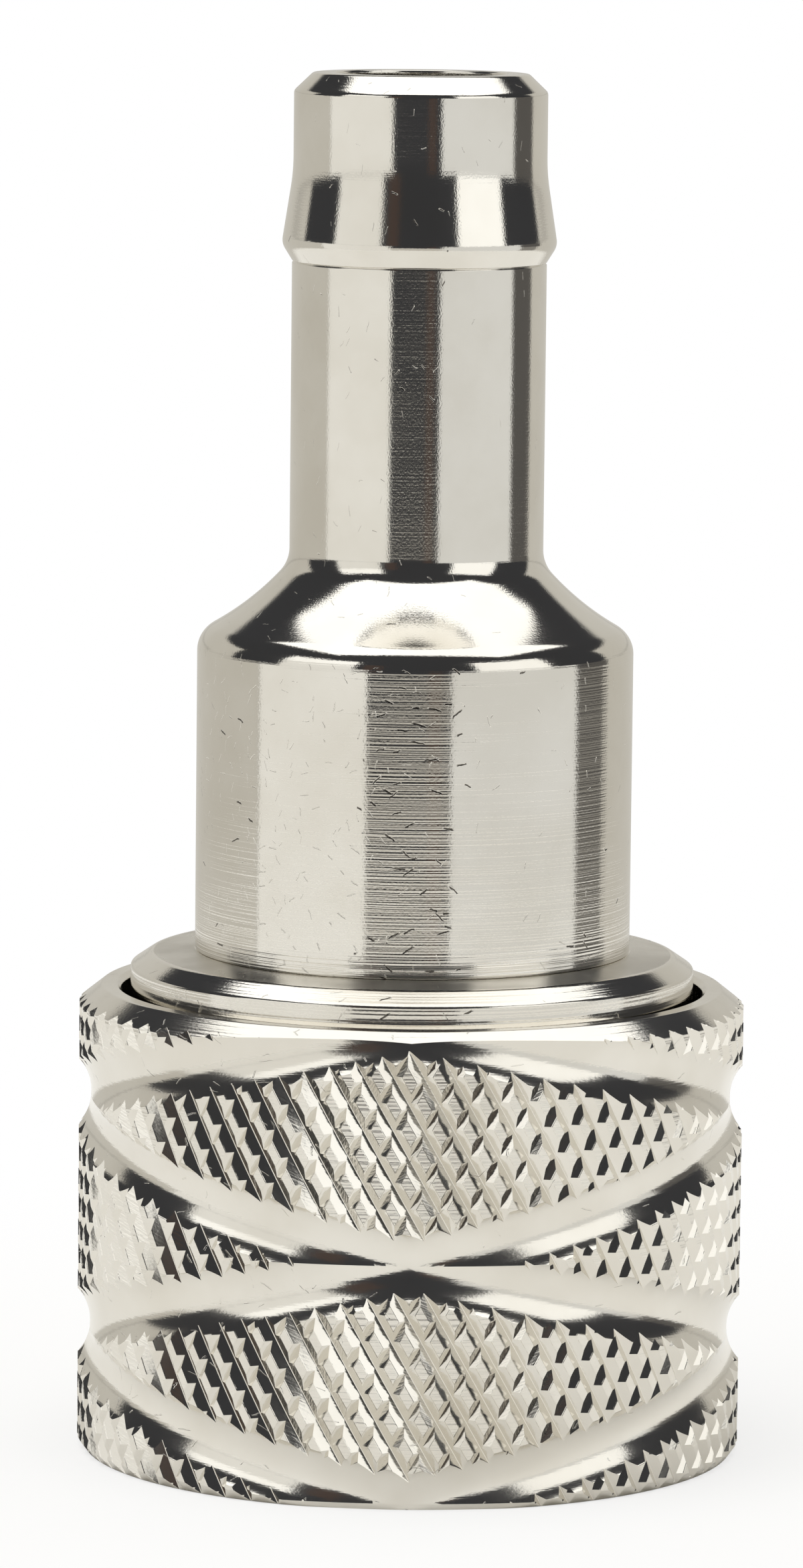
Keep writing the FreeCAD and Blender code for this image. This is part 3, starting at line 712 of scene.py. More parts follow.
def plated_set(effects, looks):
    """The three platings: of the hose tail, the socket body and the sleeve.

    The hose tail's cylinder and foot keep more of the lathe's rings than its tube and shoulder, and
    so do the sleeve's lands and top chamfer. The flange's face is satin.
    """
    foot = flange_top / MM
    cylinder_top = foot + bpy.context.scene.tail_sizes.cylinder_length / MM
    neck = cylinder_radius / MM
    rim, land = sleeve_top / MM, sleeve_radius / MM
    cylinder_zone = Zone(
        "Height", foot, cylinder_top + 0.3, soft=0.1,
        roughness=looks.turned_roughness, ring_depth=0.005, nicks=0.4, dents=0.45,
    )
    foot_zone = Zone(
        "Height", foot - 1.0, foot + 0.9, soft=0.4,
        roughness=looks.turned_roughness, ring_depth=0.012, nicks=0.08, dents=0.04,
    )
    face_zone = Zone(
        "Radius", neck, neck + 1.6, soft=0.04,
        roughness=looks.satin_roughness, ring_depth=0.003, nicks=0.1, dents=0.0,
    )
    rim_zone = Zone(
        "Height", rim - 0.7, rim + 1.0, soft=0.05,
        roughness=looks.rim_roughness, ring_depth=0.007, nicks=0.2, dents=0.0,
    )
    land_zone = Zone(
        "Radius", land - 0.02, land + 1.0, soft=0.01,
        roughness=looks.land_roughness, ring_depth=0.010, nicks=0.1, dents=0.0,
    )
    return {
        "tail": plated_material(
            "nickel_tail", effects, looks, looks.polished_roughness, ring_depth=0.001,
            ring_spacing=0.07, nicks=0.08, dents=0.04, zones=(cylinder_zone, foot_zone),
        ),
        "socket": plated_material(
            "nickel_socket", effects, looks, looks.socket_roughness, ring_depth=0.009,
            ring_spacing=0.14, nicks=0.15, dents=0.05, zones=(face_zone,),
        ),
        "sleeve": plated_material(
            "nickel_sleeve", effects, looks, looks.knurl_roughness, ring_depth=0.002,
            ring_spacing=0.12, nicks=0.2, dents=0.0, zones=(rim_zone, land_zone),
        ),
    }


def material_set(looks):
    """Every finish by name."""
    effects = Effects()
    fine, coarse = 0.1, 0.3
    # Material, colour, metallic, roughness, drift of tone, and depth and spacing of rings
    rows = {
        "brass": ("turned_brass", looks.brass, 1.0, 0.25, 0.3, 0.004, fine),
        "wire": ("spring_wire", looks.steel, 1.0, 0.3, 0.5, 0.002, coarse),
        "ring": ("ring_steel", looks.steel, 1.0, 0.28, 0.4, 0.002, 0.2),
        "ball": ("ball_steel", looks.ball, 1.0, 0.06, 0.1, 0.0, fine),
        "rubber": ("seal_rubber", looks.rubber, 0.0, 0.42, 0.02, 0.002, coarse),
        "washer": ("fibre_washer", looks.washer, 0.0, 0.7, 0.2, 0.01, coarse),
    }
    plain = {kind: plain_material(effects, *row) for kind, row in rows.items()}
    return {**plated_set(effects, looks), **plain}


MATERIALS = {}


def finish_of(name):
    """A material of the set, which is built the first time that a piece asks for one."""
    if not MATERIALS:
        MATERIALS.update(material_set(bpy.context.scene.finishes))
    return MATERIALS[name]


# Hose tail

def tail_outline(s):
    """From the flange up the cylinder, ogee, tube and barb to the tip, and back down the bore.

    Gives the corners and how far each one is eased.
    """
    fillet_out = s.fillet_radius * (1 - math.cos(s.fillet_turn))
    round_out = s.shoulder_round * (1 - math.cos(s.shoulder_turn))
    hollow_out = cylinder_radius - s.tube_radius - fillet_out - round_out
    hollow_radius = hollow_out / (math.cos(s.fillet_turn) - math.cos(s.shoulder_turn))
    cylinder_top = flange_top + s.cylinder_length
    round_centre = (cylinder_radius - s.shoulder_round, cylinder_top)
    round_rise = s.shoulder_round * math.sin(s.shoulder_turn)
    hollow_centre = (
        cylinder_radius - round_out + hollow_radius * math.cos(s.shoulder_turn),
        cylinder_top + round_rise + hollow_radius * math.sin(s.shoulder_turn),
    )
    tube_foot = hollow_centre[1] - (hollow_radius - s.fillet_radius) * math.sin(s.fillet_turn)
    fillet_centre = (s.tube_radius + s.fillet_radius, tube_foot)
    nose_radius = s.tube_radius - s.nose_step
    nose_foot = tail_top - s.nose_length
    barb_top = nose_foot - s.barb_ramp
    barb_foot = barb_top - s.barb_back
    bore_radius = s.tube_radius - s.tube_wall
    thread_radius = cylinder_radius - s.cylinder_wall
    taper_foot = washer_high + s.chamber_length
    hollow_start, fillet_start = math.pi + s.shoulder_turn, math.pi + s.fillet_turn
    flowing = np.concatenate((
        [(cylinder_radius, flange_top)],
        arc(round_centre, s.shoulder_round, 0, s.shoulder_turn, 24),
        arc(hollow_centre, hollow_radius, hollow_start, fillet_start, 24)[1:],
        arc(fillet_centre, s.fillet_radius, fillet_start, math.pi, 24)[1:],
    ))
    cornered = np.array([
        (s.tube_radius, barb_foot - 2 * s.foot_mark, s.foot_ease),
        (s.tube_radius - s.foot_mark, barb_foot - s.foot_mark, s.foot_ease),
        (s.tube_radius, barb_foot, s.foot_ease),
        (s.tube_radius + s.barb_rise, barb_top, s.lip_ease),
        (nose_radius, nose_foot, s.nose_ease),
        (nose_radius, tail_top - s.tip_chamfer_height, s.ease),
        (nose_radius - s.tip_chamfer_width, tail_top, s.ease),
        (bore_radius, tail_top, s.ease),
        (bore_radius, taper_foot + s.taper_length, s.ease),
        (s.chamber_radius, taper_foot, s.ease),
        (s.chamber_radius, washer_high, s.ease),
        (thread_radius, washer_high, s.ease),
        (thread_radius, flange_top, s.ease),
    ])
    corners = np.concatenate((flowing, cornered[:, :2]))
    return corners, np.concatenate((np.full(len(flowing), s.ease), cornered[:, 2]))


class COUPLING_OT_tail(bpy.types.Operator):
    """Turn the hose tail with its barb, ogee shoulder and cylinder."""
    bl_idname = "coupling.tail"
    bl_label = "Hose tail"

    def execute(self, context):
        s = context.scene.tail_sizes
        piece = turned("tail", eased(*tail_outline(s), least_turn=math.radians(5)), segments=384)
        finished(piece, finish_of("tail"), "root", ["hose_tail"])
        return {"FINISHED"}


# Socket body

def socket_outline(s, v, thread_bore):
    """Outside from the mouth up over neck, flange and spigot, and back down the bore."""
    groove_top = ring_high + s.ring_gap
    groove_radius = s.neck_radius - s.ring_groove_depth
    flange_low = flange_top - s.flange_thickness
    flange_edge = flange_top - s.flange_drop
    relief = s.neck_radius - s.undercut_depth
    spigot_radius = thread_bore - s.fit_gap
    pocket_radius = guide_radius + s.fit_gap
    seat = spigot_top - v.rim_thickness
    pocket_reach = v.ball_radius + v.ball_clearance
    relief_radius = s.bore_radius + s.relief_depth
    seal_low = v.ball_height + pocket_reach + s.seal_land
    seal_high = seal_low + s.seal_groove_width
    bore_top = seal_high + s.throat_land
    throat_radius = s.bore_radius - s.throat_step
    throat_top = bore_top + s.throat_length
    chamber = bpy.context.scene.tail_sizes.chamber_radius
    return [
        (s.bore_radius + s.mouth_chamfer, mouth),
        (s.neck_radius - s.nose_chamfer, mouth),
        (s.neck_radius, mouth + s.nose_chamfer),
        (s.neck_radius, s.nose_land),
        (groove_radius, s.nose_land),
        (groove_radius, groove_top),
        (s.neck_radius, groove_top),
        (s.neck_radius, flange_low - s.undercut_height),
        (relief, flange_low - s.undercut_height),
        (relief, flange_low),
        (flange_radius, flange_low),
        (flange_radius, flange_edge - s.flange_bevel),
        (cylinder_radius + s.flange_flat, flange_edge),
        (cylinder_radius, flange_top),
        (spigot_radius, flange_top),
        (spigot_radius, spigot_top),
        (pocket_radius, spigot_top),
        (pocket_radius, seat),
        (chamber, seat),
        (chamber, throat_top + chamber - throat_radius),
        (throat_radius, throat_top),
        (throat_radius, bore_top),
        (s.bore_radius, bore_top),
        (s.bore_radius, seal_high),
        (s.bore_radius + s.seal_groove_depth, seal_high),
        (s.bore_radius + s.seal_groove_depth, seal_low),
        (s.bore_radius, seal_low),
        (s.bore_radius, v.ball_height + pocket_reach),
        (relief_radius, v.ball_height + pocket_reach),
        (relief_radius, v.ball_height - pocket_reach),
        (s.bore_radius, v.ball_height - pocket_reach),
        (s.bore_radius, mouth + s.mouth_chamfer),
    ]


def ball_place(s, neck_radius, i):
    """Azimuth and centre of a locking ball."""
    azimuth = 2 * math.pi * (i + 0.5) / s.ball_count
    return azimuth, Vector(around(neck_radius - s.ball_radius, azimuth, s.ball_height))


def pocket_cutter(s, neck_radius, i):
    """A round-ended plug that lies along a ball pocket, its round end inwards."""
    azimuth, centre = ball_place(s, neck_radius, i)
    radius = s.ball_radius + s.ball_clearance
    round_end = arc((0, 0), radius, -math.pi / 2, 0, 24)
    outline = np.concatenate((round_end, [(radius, 2 * radius), (0, 2 * radius)]))
    cutter = turned("pocket", outline, segments=64, closed=False)
    lean = Matrix.Rotation(math.pi / 2, 4, "X")
    cutter.data.transform(Matrix.Translation(centre) @ Matrix.Rotation(azimuth, 4, "Z") @ lean)
    return cutter


class COUPLING_OT_socket(bpy.types.Operator):
    """Turn the socket body and sink its ball pockets."""
    bl_idname = "coupling.socket"
    bl_label = "Socket body"

    def execute(self, context):
        s = context.scene.socket_sizes
        v = context.scene.valve_sizes
        thread_bore = cylinder_radius - context.scene.tail_sizes.cylinder_wall
        piece = turned("socket", eased(socket_outline(s, v, thread_bore), s.ease), segments=288)
        for i in range(v.ball_count):
            carve(piece, pocket_cutter(v, s.neck_radius, i), "DIFFERENCE")
        finished(piece, finish_of("socket"), "root", ["socket_body"])
        return {"FINISHED"}


# Sleeve

def knurled_bar(s):
    """A bar with a diamond knurl: flat-topped pyramids between grooves of two depths.

    A point of the knurl's net is (across, up). Its azimuth is (across - up) / 2 pitches and its
    height (across + up) / 2 diamonds. The deeper grooves, which lean left, lie where across is
    whole. The others, which lean right, lie one cross_line above where up is whole. Each cell of
    the net has a land at full radius, and from its four edges flat sides fall to the grooves.
    """
    lines = s.knurl_lines
    first = math.floor(2 * (sleeve_foot - s.crossing_height) / s.knurl_height) - 2
    last = math.ceil(2 * (sleeve_top - s.crossing_height) / s.knurl_height) + 2
    rows = last - first + 2
    near, far = s.knurl_floor / 2, 1 - s.knurl_floor / 2
    cross_depth = s.knurl_depth * s.cross_share
    saddle_left = s.land_left + (near - s.land_left) * s.cross_share
    saddle_right = s.land_right + (far - s.land_right) * s.cross_share
    kinds = {
        "low_left": (s.land_left, s.land_low, 0.0),
        "low_right": (s.land_right, s.land_low, 0.0),
        "high_left": (s.land_left, s.land_high, 0.0),
        "high_right": (s.land_right, s.land_high, 0.0),
        "saddle_left": (saddle_left, s.cross_line, cross_depth),
        "saddle_right": (saddle_right, s.cross_line, cross_depth),
        "near_floor": (far, s.cross_line, s.knurl_depth),
        "far_floor": (1 + near, s.cross_line, s.knurl_depth),
    }
    column, row = np.meshgrid(np.arange(lines), np.arange(first - 1, last + 1))
    blocks = []
    for right, rise, depth in kinds.values():
        across, up = column + right, row - column + rise
        azimuth = math.pi * (across - up) / lines
        height = s.crossing_height + s.knurl_height * (across + up) / 2
        radius = sleeve_radius - depth
        blocks.append(around(radius, azimuth, height).reshape(-1, 3))
    order = {kind: place * rows * lines for place, kind in enumerate(kinds)}

    def at(kind, level, turn=0):
        """Numbers of one kind of point in the rows of a level, one column further for each turn."""
        return order[kind] + level * lines + (np.arange(lines)[None] + turn) % lines

    low = np.arange(1, rows - 1)[:, None]
    high, under = low + 1, low - 1
    sides = (
        (("low_left", low), ("low_right", low), ("high_right", low), ("high_left", low)),
        (("saddle_left", low), ("saddle_right", low), ("low_right", low), ("low_left", low)),
        (("high_left", low), ("high_right", low), ("saddle_right", high), ("saddle_left", high)),
        (("near_floor", low), ("near_floor", high), ("saddle_right", high),
         ("high_right", low), ("low_right", low), ("saddle_right", low)),
        (("far_floor", under, -1), ("saddle_left", low), ("low_left", low),
         ("high_left", low), ("saddle_left", high), ("far_floor", low, -1)),
        (("near_floor", low), ("far_floor", low), ("far_floor", high), ("near_floor", high)),
    )
    faces = []
    for side in sides:
        numbers = np.stack([at(*corner) for corner in side], axis=-1)
        faces += numbers.reshape(-1, len(side)).tolist()
    total = sum(len(block) for block in blocks)
    for end, level in enumerate((1, rows - 1)):
        rim = (at("saddle_left", level), at("saddle_right", level), at("near_floor", level),
               at("far_floor", level), at("far_floor", level - 1))
        rim = np.stack(rim, axis=-1).reshape(-1)
        faces += np.column_stack((rim, np.roll(rim, -1), np.full(len(rim), total + end))).tolist()
        blocks.append([(0, 0, s.crossing_height + s.knurl_height * (first, last)[end] / 2)])
    return new_object("knurled_sleeve", np.concatenate(blocks), faces)


def groove_cutter(s, hand, start):
    """A round bar wound round the sleeve, so that it cuts one smooth winding groove.

    Its middle follows z = crossing height + hand * lead * azimuth / full turn + start * spacing.
    The side of its section that cuts has more points than the rest.
    """
    section_radius = ((s.groove_width / 2) ** 2 + s.groove_depth**2) / (2 * s.groove_depth)
    path_radius = sleeve_radius + section_radius - s.groove_depth
    past = 1.5 * MM
    spacing = s.groove_lead / s.groove_starts
    origin = s.crossing_height + start * spacing
    span = np.array((sleeve_foot - past - origin, sleeve_top + past - origin))
    azimuth = np.linspace(*(hand * span * 2 * math.pi / s.groove_lead), 420)
    outward = around(1, azimuth, 0)
    forward = np.cross((0, 0, 1), outward)
    rise = hand * s.groove_lead / (2 * math.pi)
    centres = path_radius * outward
    centres[:, 2] = origin + rise * azimuth
    along = path_radius * forward + np.array((0, 0, rise))
    along /= np.linalg.norm(along, axis=1)[:, None]
    across = np.cross(along, outward)
    cut = math.radians(50)
    cutting, rest = np.linspace(-cut, cut, 33), np.linspace(cut, 2 * math.pi - cut, 17)[1:-1]
    turn = np.concatenate((cutting, rest))
    section = section_radius * np.column_stack((-np.cos(turn), np.sin(turn)))
    return swept("groove", centres, outward, across, section)


def sleeve_blank(s):
    """The sleeve's ends and bore as a turned solid, left wide where the knurl is.

    The ramp lets the balls out as fast as the sleeve rises.
    """
    wide = 1.0 * MM
    top_slope = s.top_chamfer_height / s.top_chamfer_width
    foot_slope = s.foot_chamfer_height / s.foot_chamfer_width
    ramp_slope = travel_of("sleeve_slide") / travel_of("lock_ball_1_slide")
    ramp_top = s.recess_height + (s.ramp_radius - s.guide_radius) * ramp_slope
    return [
        (s.recess_radius + s.recess_edge, sleeve_foot),
        (sleeve_radius - s.foot_chamfer_width, sleeve_foot),
        (sleeve_radius + wide, sleeve_foot + s.foot_chamfer_height + wide * foot_slope),
        (sleeve_radius + wide, sleeve_top - s.top_chamfer_height - wide * top_slope),
        (sleeve_radius - s.top_chamfer_width, sleeve_top),
        (s.bore_radius + s.bore_edge, sleeve_top),
        (s.bore_radius, sleeve_top - s.bore_edge),
        (s.bore_radius, s.spring_seat),
        (s.guide_radius, s.spring_seat),
        (s.guide_radius, ramp_top),
        (s.ramp_radius, s.recess_height),
        (s.recess_radius, s.recess_height),
        (s.recess_radius, sleeve_foot + s.recess_edge),
    ]


class COUPLING_OT_sleeve(bpy.types.Operator):
    """Cut the knurl and the winding grooves into the sleeve and bore it."""
    bl_idname = "coupling.sleeve"
    bl_label = "Knurled sleeve"

    def execute(self, context):
        s = context.scene.sleeve_sizes
        piece = knurled_bar(s)
        for hand in (1, -1):
            for start in range(s.groove_starts):
                carve(piece, groove_cutter(s, hand, start), "DIFFERENCE")
        carve(piece, turned("blank", eased(sleeve_blank(s), s.ease), segments=360), "INTERSECT")
        finished(piece, finish_of("sleeve"), "sleeve", ["sleeve"], crease=18.0)
        return {"FINISHED"}


# Ring, balls and seals

def seal_ring(name, radius, low, high):
    """A round seal ring from its outer radius and its lowest and highest z."""
    wire = (high - low) / 2
    outline = arc((radius - wire, (low + high) / 2), wire, 0, 2 * math.pi, 40)[:-1]
    return turned(name, outline, segments=160)


class COUPLING_OT_ring(bpy.types.Operator):
    """Bend the flat snap ring, open at the back."""
    bl_idname = "coupling.ring"
    bl_label = "Snap ring"

    def execute(self, context):
        s = context.scene.valve_sizes
        inner = ring_radius - s.ring_width
        section = eased(rectangle(inner, ring_radius, ring_low, ring_high), s.ease)
        middle = (inner + ring_radius) / 2
        open_half = math.asin(s.ring_opening / 2 / middle)
        azimuths = np.linspace(-math.pi + open_half, math.pi - open_half, 220)
        outward = around(1, azimuths, 0)
        centres = np.zeros((len(azimuths), 3))
        upward = np.tile((0.0, 0.0, 1.0), (len(azimuths), 1))
        piece = swept("snap_ring", centres, outward, upward, section)
        finished(piece, finish_of("ring"), "turning_ring", ["retaining_ring"])
        return {"FINISHED"}


class COUPLING_OT_balls(bpy.types.Operator):
    """Grind the locking balls."""
    bl_idname = "coupling.balls"
    bl_label = "Locking balls"

    def execute(self, context):
        s = context.scene.valve_sizes
        neck_radius = context.scene.socket_sizes.neck_radius
        outline = arc((0, 0), s.ball_radius, -math.pi / 2, math.pi / 2, 32)
        for i in range(s.ball_count):
            piece = turned(f"ball_{i + 1}", outline, segments=64, closed=False)
            piece.data.transform(Matrix.Translation(ball_place(s, neck_radius, i)[1]))
            name = f"lock_ball_{i + 1}"
            finished(piece, finish_of("ball"), name, [name])
        return {"FINISHED"}


class COUPLING_OT_seals(bpy.types.Operator):
    """Mould the two seal rings and cut the flat washer."""
    bl_idname = "coupling.seals"
    bl_label = "Seals and washer"

    def execute(self, context):
        seals = (("bore_seal", "root", "plug_seal"), ("head_seal", "valve", "valve_seal"))
        for name, body, part in seals:
            piece = seal_ring(name, *extent(part))
            finished(piece, finish_of("rubber"), body, [part])
        s = context.scene.valve_sizes
        inner = context.scene.tail_sizes.chamber_radius + s.washer_step
        corners = rectangle(inner, washer_radius, washer_low, washer_high)
        washer = turned("flat_washer", eased(corners, s.ease), segments=160)
        finished(washer, finish_of("washer"), "root", ["joint_seal"])
        return {"FINISHED"}


# Valve

class COUPLING_OT_poppet(bpy.types.Operator):
    """Turn the poppet with its button, seal groove, head, boss and stem."""
    bl_idname = "coupling.poppet"
    bl_label = "Poppet"

    def execute(self, context):
        s = context.scene.valve_sizes
        disc_low = poppet_low + s.button_length
        groove_low = disc_low + s.disc_length
        groove_high = groove_low + s.groove_width
        head_high = groove_high + s.head_length
        boss_top = head_high + s.boss_length
        root = valve_seal_radius - (valve_seal_high - valve_seal_low) - s.seal_gap
        corners = [
            (0, poppet_low), (s.button_radius, poppet_low), (s.button_radius, disc_low),
            (s.disc_radius, disc_low), (s.disc_radius, groove_low), (root, groove_low),
            (root, groove_high), (head_radius, groove_high), (head_radius, head_high),
            (s.boss_radius, head_high), (s.boss_radius, boss_top), (s.stem_radius, boss_top),
            (s.stem_radius, poppet_high), (0, poppet_high),
        ]
        piece = turned("poppet", eased(corners, s.ease, closed=False), segments=160, closed=False)
        finished(piece, finish_of("socket"), "valve", ["valve_poppet"])
        return {"FINISHED"}


def beam(name, half_length, half_width, low, high):
    """A straight bar through the axis along X."""
    x, y = np.array((-1, 1, 1, -1)) * half_length, np.array((-1, -1, 1, 1)) * half_width
    vertices = np.concatenate([np.column_stack((x, y, np.full(4, z))) for z in (low, high)])
    faces = [(3, 2, 1, 0), (4, 5, 6, 7), (0, 1, 5, 4), (1, 2, 6, 5), (2, 3, 7, 6), (3, 0, 4, 7)]
    return new_object(name, vertices, faces)


class COUPLING_OT_guide(bpy.types.Operator):
    """Make the guide: rim, four webs and a bored hub."""
    bl_idname = "coupling.guide"
    bl_label = "Stem guide"

    def execute(self, context):
        s = context.scene.valve_sizes
        seat = spigot_top - s.rim_thickness
        inner = guide_radius - s.rim_inset
        rim = rectangle(inner, guide_radius, seat, spigot_top)
        piece = turned("stem_guide", eased(rim, s.ease), segments=160)
        reach = (inner + guide_radius) / 2
        for quarter in range(2):
            web = beam("web", reach, s.web_width / 2, seat, spigot_top - s.web_drop)
            web.data.transform(Matrix.Rotation(quarter * math.pi / 2, 4, "Z"))
            carve(piece, web, "UNION")
        bore = s.stem_radius + s.stem_clearance
        hub = eased(rectangle(0, bore + s.hub_wall, guide_low, guide_high), s.ease, closed=False)
        carve(piece, turned("hub", hub, segments=96, closed=False), "UNION")
        past = 1.0 * MM
        drill = rectangle(0, bore, guide_low - past, guide_high + past)
        carve(piece, turned("drill", drill, segments=96, closed=False), "DIFFERENCE")
        finished(piece, finish_of("brass"), "root", ["valve_guide"])
        return {"FINISHED"}


# In wires: how far each closed end turn of a spring rises, and how far the wire's middle starts
# from the end
END_RISE = 1.15
END_SINK = 0.2


def coil(name, low, high, outer_radius, wire, turns):
    """A spring: a round wire on a helix, closed at both ends and ground flat there.

    The height climbs a little more than a wire in the first and last turn and evenly in between.
    What passes the ends is ground off.
    """
    end_rise = END_RISE * wire
    start, finish = low + END_SINK * wire, high - END_SINK * wire
    pitch = (finish - start - 2 * end_rise) / (turns - 2)
    turn = np.linspace(0, turns, int(turns * 72) + 1)
    height = start + np.clip(turn - 1, 0, turns - 2) * pitch
    height += (np.minimum(turn, 1) + np.maximum(turn - turns + 1, 0)) * end_rise
    radius = outer_radius - wire / 2
    azimuth = 2 * math.pi * turn
    outward = np.stack((np.cos(azimuth), np.sin(azimuth), 0 * azimuth), axis=-1)
    centres = radius * outward
    centres[:, 2] = height
    along = np.gradient(centres, axis=0)
    along /= np.linalg.norm(along, axis=1)[:, None]
    upward = np.cross(outward, along)
    section = arc((0, 0), wire / 2, 0, 2 * math.pi, 20)[:-1]
    piece = swept(name, centres, outward, upward, section)
    ground = rectangle(0, outer_radius + wire, low, high)
    return carve(piece, turned("ground", ground, segments=48, closed=False), "INTERSECT")


def squash_to(piece):
    """Give a spring a mesh of its own."""
    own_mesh(piece)


class COUPLING_OT_springs(bpy.types.Operator):
    """Wind the sleeve's return spring and the valve's spring."""
    bl_idname = "coupling.springs"
    bl_label = "Springs"

    def execute(self, context):
        s = context.scene.valve_sizes
        outer, inner = (s.return_wire, s.return_turns), (s.valve_wire, s.valve_turns)
        springs = (
            ("return_spring", "turning_ring", "sleeve_spring", "sleeve_slide", outer),
            ("valve_coil", "root", "valve_spring", "valve_slide", inner),
        )
        for name, body, part, joint, winding in springs:
            radius, low, high = extent(part)
            piece = coil(name, low, high, radius, *winding)
            finished(piece, finish_of("wire"), body, [part])
            squash_to(piece)
        return {"FINISHED"}


# Stage

def floor_material(s):
    """White to the camera with the part's shadow on it, and mirrored in the part only near by.

    It is clear from below, and under the part it lets light through to the mouth.
    """
    material = bpy.data.materials.new("floor_white")
    material.use_nodes = True
    tree = material.node_tree
    tree.nodes.remove(tree.nodes["Principled BSDF"])
    path = tree.nodes.new("ShaderNodeLightPath").outputs
    place = tree.nodes.new("ShaderNodeTexCoord").outputs["Object"]
    away = node(tree, "ShaderNodeVectorMath", {0: place}, operation="LENGTH").outputs["Value"]
    far = ramp(tree, away, 0.8 * s.shine_reach, 1.2 * s.shine_reach)
    faded = ramp(tree, away, 1.5 * sleeve_radius, 0.5 * s.shine_reach, 1.0 - s.shadow_share, 1.0)
    plain = node(tree, "ShaderNodeBsdfDiffuse", {"Color": (0.86, 0.85, 0.82, 1)}).outputs[0]
    white = node(tree, "ShaderNodeEmission", {"Color": (1, 1, 1, 1), "Strength": 1.0}).outputs[0]
    clear = tree.nodes.new("ShaderNodeBsdfTransparent").outputs[0]
    seen = mixed(tree, faded, plain, white)
    near = mixed(tree, path["Is Camera Ray"], plain, seen)
    hidden = maths(tree, "MULTIPLY", far, path["Is Glossy Ray"])
    below = tree.nodes.new("ShaderNodeNewGeometry").outputs["Backfacing"]
    covered = ramp(tree, away, 0.94 * sleeve_radius, 0.97 * sleeve_radius, 1.0, 0.0)
    lit = maths(tree, "SUBTRACT", covered, path["Is Camera Ray"])
    hidden = maths(tree, "MAXIMUM", hidden, maths(tree, "MAXIMUM", below, lit))
    whole = mixed(tree, hidden, near, clear)
    put(tree, tree.nodes["Material Output"].inputs["Surface"], whole)
    return material


BACKDROP = (0.62, 0.60, 0.55, 1)
SHADE = (0.11, 0.105, 0.10, 1)
BROWN = (0.075, 0.055, 0.048, 1)
TABLE = (0.62, 0.60, 0.555, 1)
FAR_TABLE = (0.26, 0.25, 0.23, 1)
LEFT_CARD = (0.93, 0.92, 0.88, 1)
RIGHT_CARD = (0.81, 0.81, 0.79, 1)
LAMP_CARD = (1.25, 1.25, 1.22, 1)
OVERHEAD = (1.5, 1.5, 1.48, 1)
DARK = (0.044, 0.045, 0.049, 1)

# Bands of elevation in degrees: the low panels, what stands on them, and the cards' upper parts
LOW, RIM, CARD = (-90, 4), (4, 26), (4, 37)

# The room's panels, each over those before it: colour, azimuths, elevations and soft edge, in
# degrees. Azimuths are counted from the camera's side, -Y, towards +X
PANELS = (
    (BACKDROP, (117, 190), LOW, 1.5),
    (BACKDROP, (-190, -90), LOW, 1.5),
    (BACKDROP, (121, 190), RIM, 1.5),
    (BACKDROP, (-190, -114), RIM, 1.5),
    (BROWN, (7, 14), LOW, 1.0),
    (BROWN, (-28, -18), RIM, 1.5),
    (TABLE, (-25, 19), (-90, -6.0), 0.4),
    (FAR_TABLE, (96, 117), (-90, -5.9), 0.6),
    (LEFT_CARD, (-90, -25), LOW, 1.0),
    (LEFT_CARD, (-77, -33), CARD, 1.5),
    (LAMP_CARD, (-77, -33), (24, 37), 1.5),
    (RIGHT_CARD, (19, 96), LOW, 1.0),
    (SHADE, (94, 122), (-5.7, 4), 1.5),
    (LAMP_CARD, (33, 77), CARD, 1.5),
)

# The panel overhead, from left to right and from front to back, for one length of height
OVERHEAD_SPAN = {"X": (-0.62, 0.72, 0.02), "Y": (-0.36, 0.72, 0.03)}


def studio_world():
    """The room as the part mirrors it: white to the camera, and elsewhere panels in a dark room."""
    world = bpy.data.worlds.new("studio_world")
    world.use_nodes = True
    tree = world.node_tree
    tree.nodes.clear()
    ray = tree.nodes.new("ShaderNodeTexCoord").outputs["Generated"]
    axes = node(tree, "ShaderNodeSeparateXYZ", {0: ray}).outputs
    azimuth = maths(tree, "DEGREES", azimuth_of(tree, axes))
    elevation = maths(tree, "DEGREES", maths(tree, "ARCSINE", axes["Z"]))
    light = DARK
    for paint, azimuths, elevations, soft in PANELS:
        side = between(tree, azimuth, *azimuths, soft)
        rise = between(tree, elevation, *elevations, soft)
        light = blended(tree, maths(tree, "MULTIPLY", side, rise), light, paint)
    level = maths(tree, "MAXIMUM", axes["Z"], 0.001)
    across, away = (
        between(tree, maths(tree, "DIVIDE", axes[name], level), *span)
        for name, span in OVERHEAD_SPAN.items()
    )
    light = blended(tree, maths(tree, "MULTIPLY", across, away), light, OVERHEAD)
    path = tree.nodes.new("ShaderNodeLightPath").outputs
    shown = blended(tree, path["Is Camera Ray"], light, (1, 1, 1, 1))
    sky = node(tree, "ShaderNodeBackground", {"Color": shown, "Strength": 1.0}).outputs[0]
    output = tree.nodes.new("ShaderNodeOutputWorld")
    put(tree, output.inputs["Surface"], sky)
    return world


def key_light(s):
    """A wide soft light from above, which the part doesn't mirror."""
    light = bpy.data.lights.new("key", "SUN")
    light.energy = s.key_strength
    light.angle = s.key_spread
    lamp = bpy.data.objects.new("key", light)
    lamp.rotation_euler = (s.key_tilt, s.key_lean, 0)
    lamp.visible_glossy = False
    return lamp


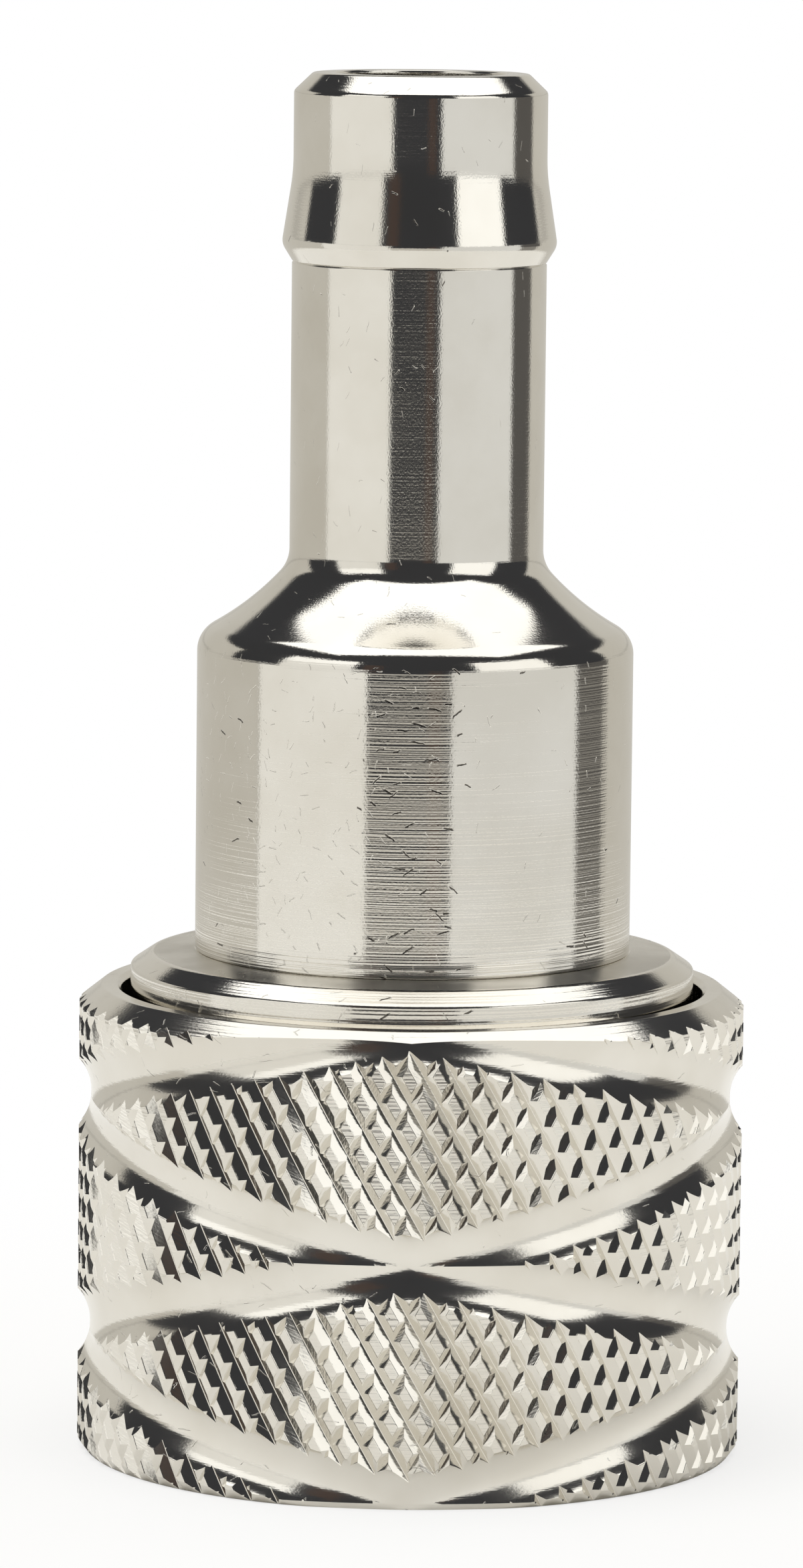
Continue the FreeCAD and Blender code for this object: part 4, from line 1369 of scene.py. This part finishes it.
def studio_camera(s):
    """The camera, in front of the part and a little above it."""
    camera = bpy.data.objects.new("camera", bpy.data.cameras.new("camera"))
    camera.data.lens = s.focal
    camera.data.clip_end = 5 * s.floor_reach
    turn = Matrix.Rotation(math.pi / 2 - s.pitch, 4, "X")
    aim = Vector((-s.aim_side, 0, s.aim_height))
    back = Vector((0, -math.cos(s.pitch), math.sin(s.pitch))) * s.distance
    camera.matrix_world = Matrix.Translation(aim + back) @ turn @ Matrix.Rotation(s.roll, 4, "Z")
    return camera


class COUPLING_OT_studio(bpy.types.Operator):
    """Lay the floor, set the surroundings and aim the camera."""
    bl_idname = "coupling.studio"
    bl_label = "Studio"

    def execute(self, context):
        s = context.scene.studio
        reach = s.floor_reach
        mesh = bpy.data.meshes.new("floor")
        corners = [(-reach, -reach, 0), (reach, -reach, 0), (reach, reach, 0), (-reach, reach, 0)]
        mesh.from_pydata(corners, [], [(0, 1, 2, 3)])
        floor = bpy.data.objects.new("floor", mesh)
        floor.data.materials.append(floor_material(s))
        camera = studio_camera(s)
        for thing in (floor, key_light(s), camera):
            context.scene.collection.objects.link(thing)
        context.scene.world = studio_world()
        context.scene.camera = camera
        context.scene.view_settings.view_transform = "Standard"
        return {"FINISHED"}


class COUPLING_PT_panel(bpy.types.Panel):
    """Lists the pieces and their sizes."""
    bl_idname = "COUPLING_PT_panel"
    bl_label = "Quick coupling"
    bl_space_type = "VIEW_3D"
    bl_region_type = "UI"
    bl_category = "Coupling"

    def draw(self, context):
        for step in STEPS:
            self.layout.operator(step.bl_idname)
        for name, kind in SIZE_GROUPS.items():
            sizes, box = getattr(context.scene, name), self.layout.box()
            box.label(text=kind.__doc__)
            for value in kind.__annotations__:
                box.prop(sizes, value, text=value.replace("_", " ").capitalize())


STEPS = (
    COUPLING_OT_tail,
    COUPLING_OT_socket,
    COUPLING_OT_sleeve,
    COUPLING_OT_ring,
    COUPLING_OT_balls,
    COUPLING_OT_seals,
    COUPLING_OT_poppet,
    COUPLING_OT_guide,
    COUPLING_OT_springs,
    COUPLING_OT_studio,
)


def register():
    """Make the sizes, operators and panel known."""
    for kind in (*SIZE_GROUPS.values(), *STEPS, COUPLING_PT_panel):
        bpy.utils.register_class(kind)
    for name, kind in SIZE_GROUPS.items():
        setattr(bpy.types.Scene, name, bpy.props.PointerProperty(type=kind))


def unregister():
    """Forget them."""
    for name in SIZE_GROUPS:
        delattr(bpy.types.Scene, name)
    for kind in (COUPLING_PT_panel, *STEPS, *SIZE_GROUPS.values()):
        bpy.utils.unregister_class(kind)


def main():
    """Build every piece and the studio."""
    register()
    bpy.ops.coupling.tail()
    bpy.ops.coupling.socket()
    bpy.ops.coupling.sleeve()
    bpy.ops.coupling.ring()
    bpy.ops.coupling.balls()
    bpy.ops.coupling.seals()
    bpy.ops.coupling.poppet()
    bpy.ops.coupling.guide()
    bpy.ops.coupling.springs()
    bpy.ops.coupling.studio()


if __name__ == "__main__":
    main()
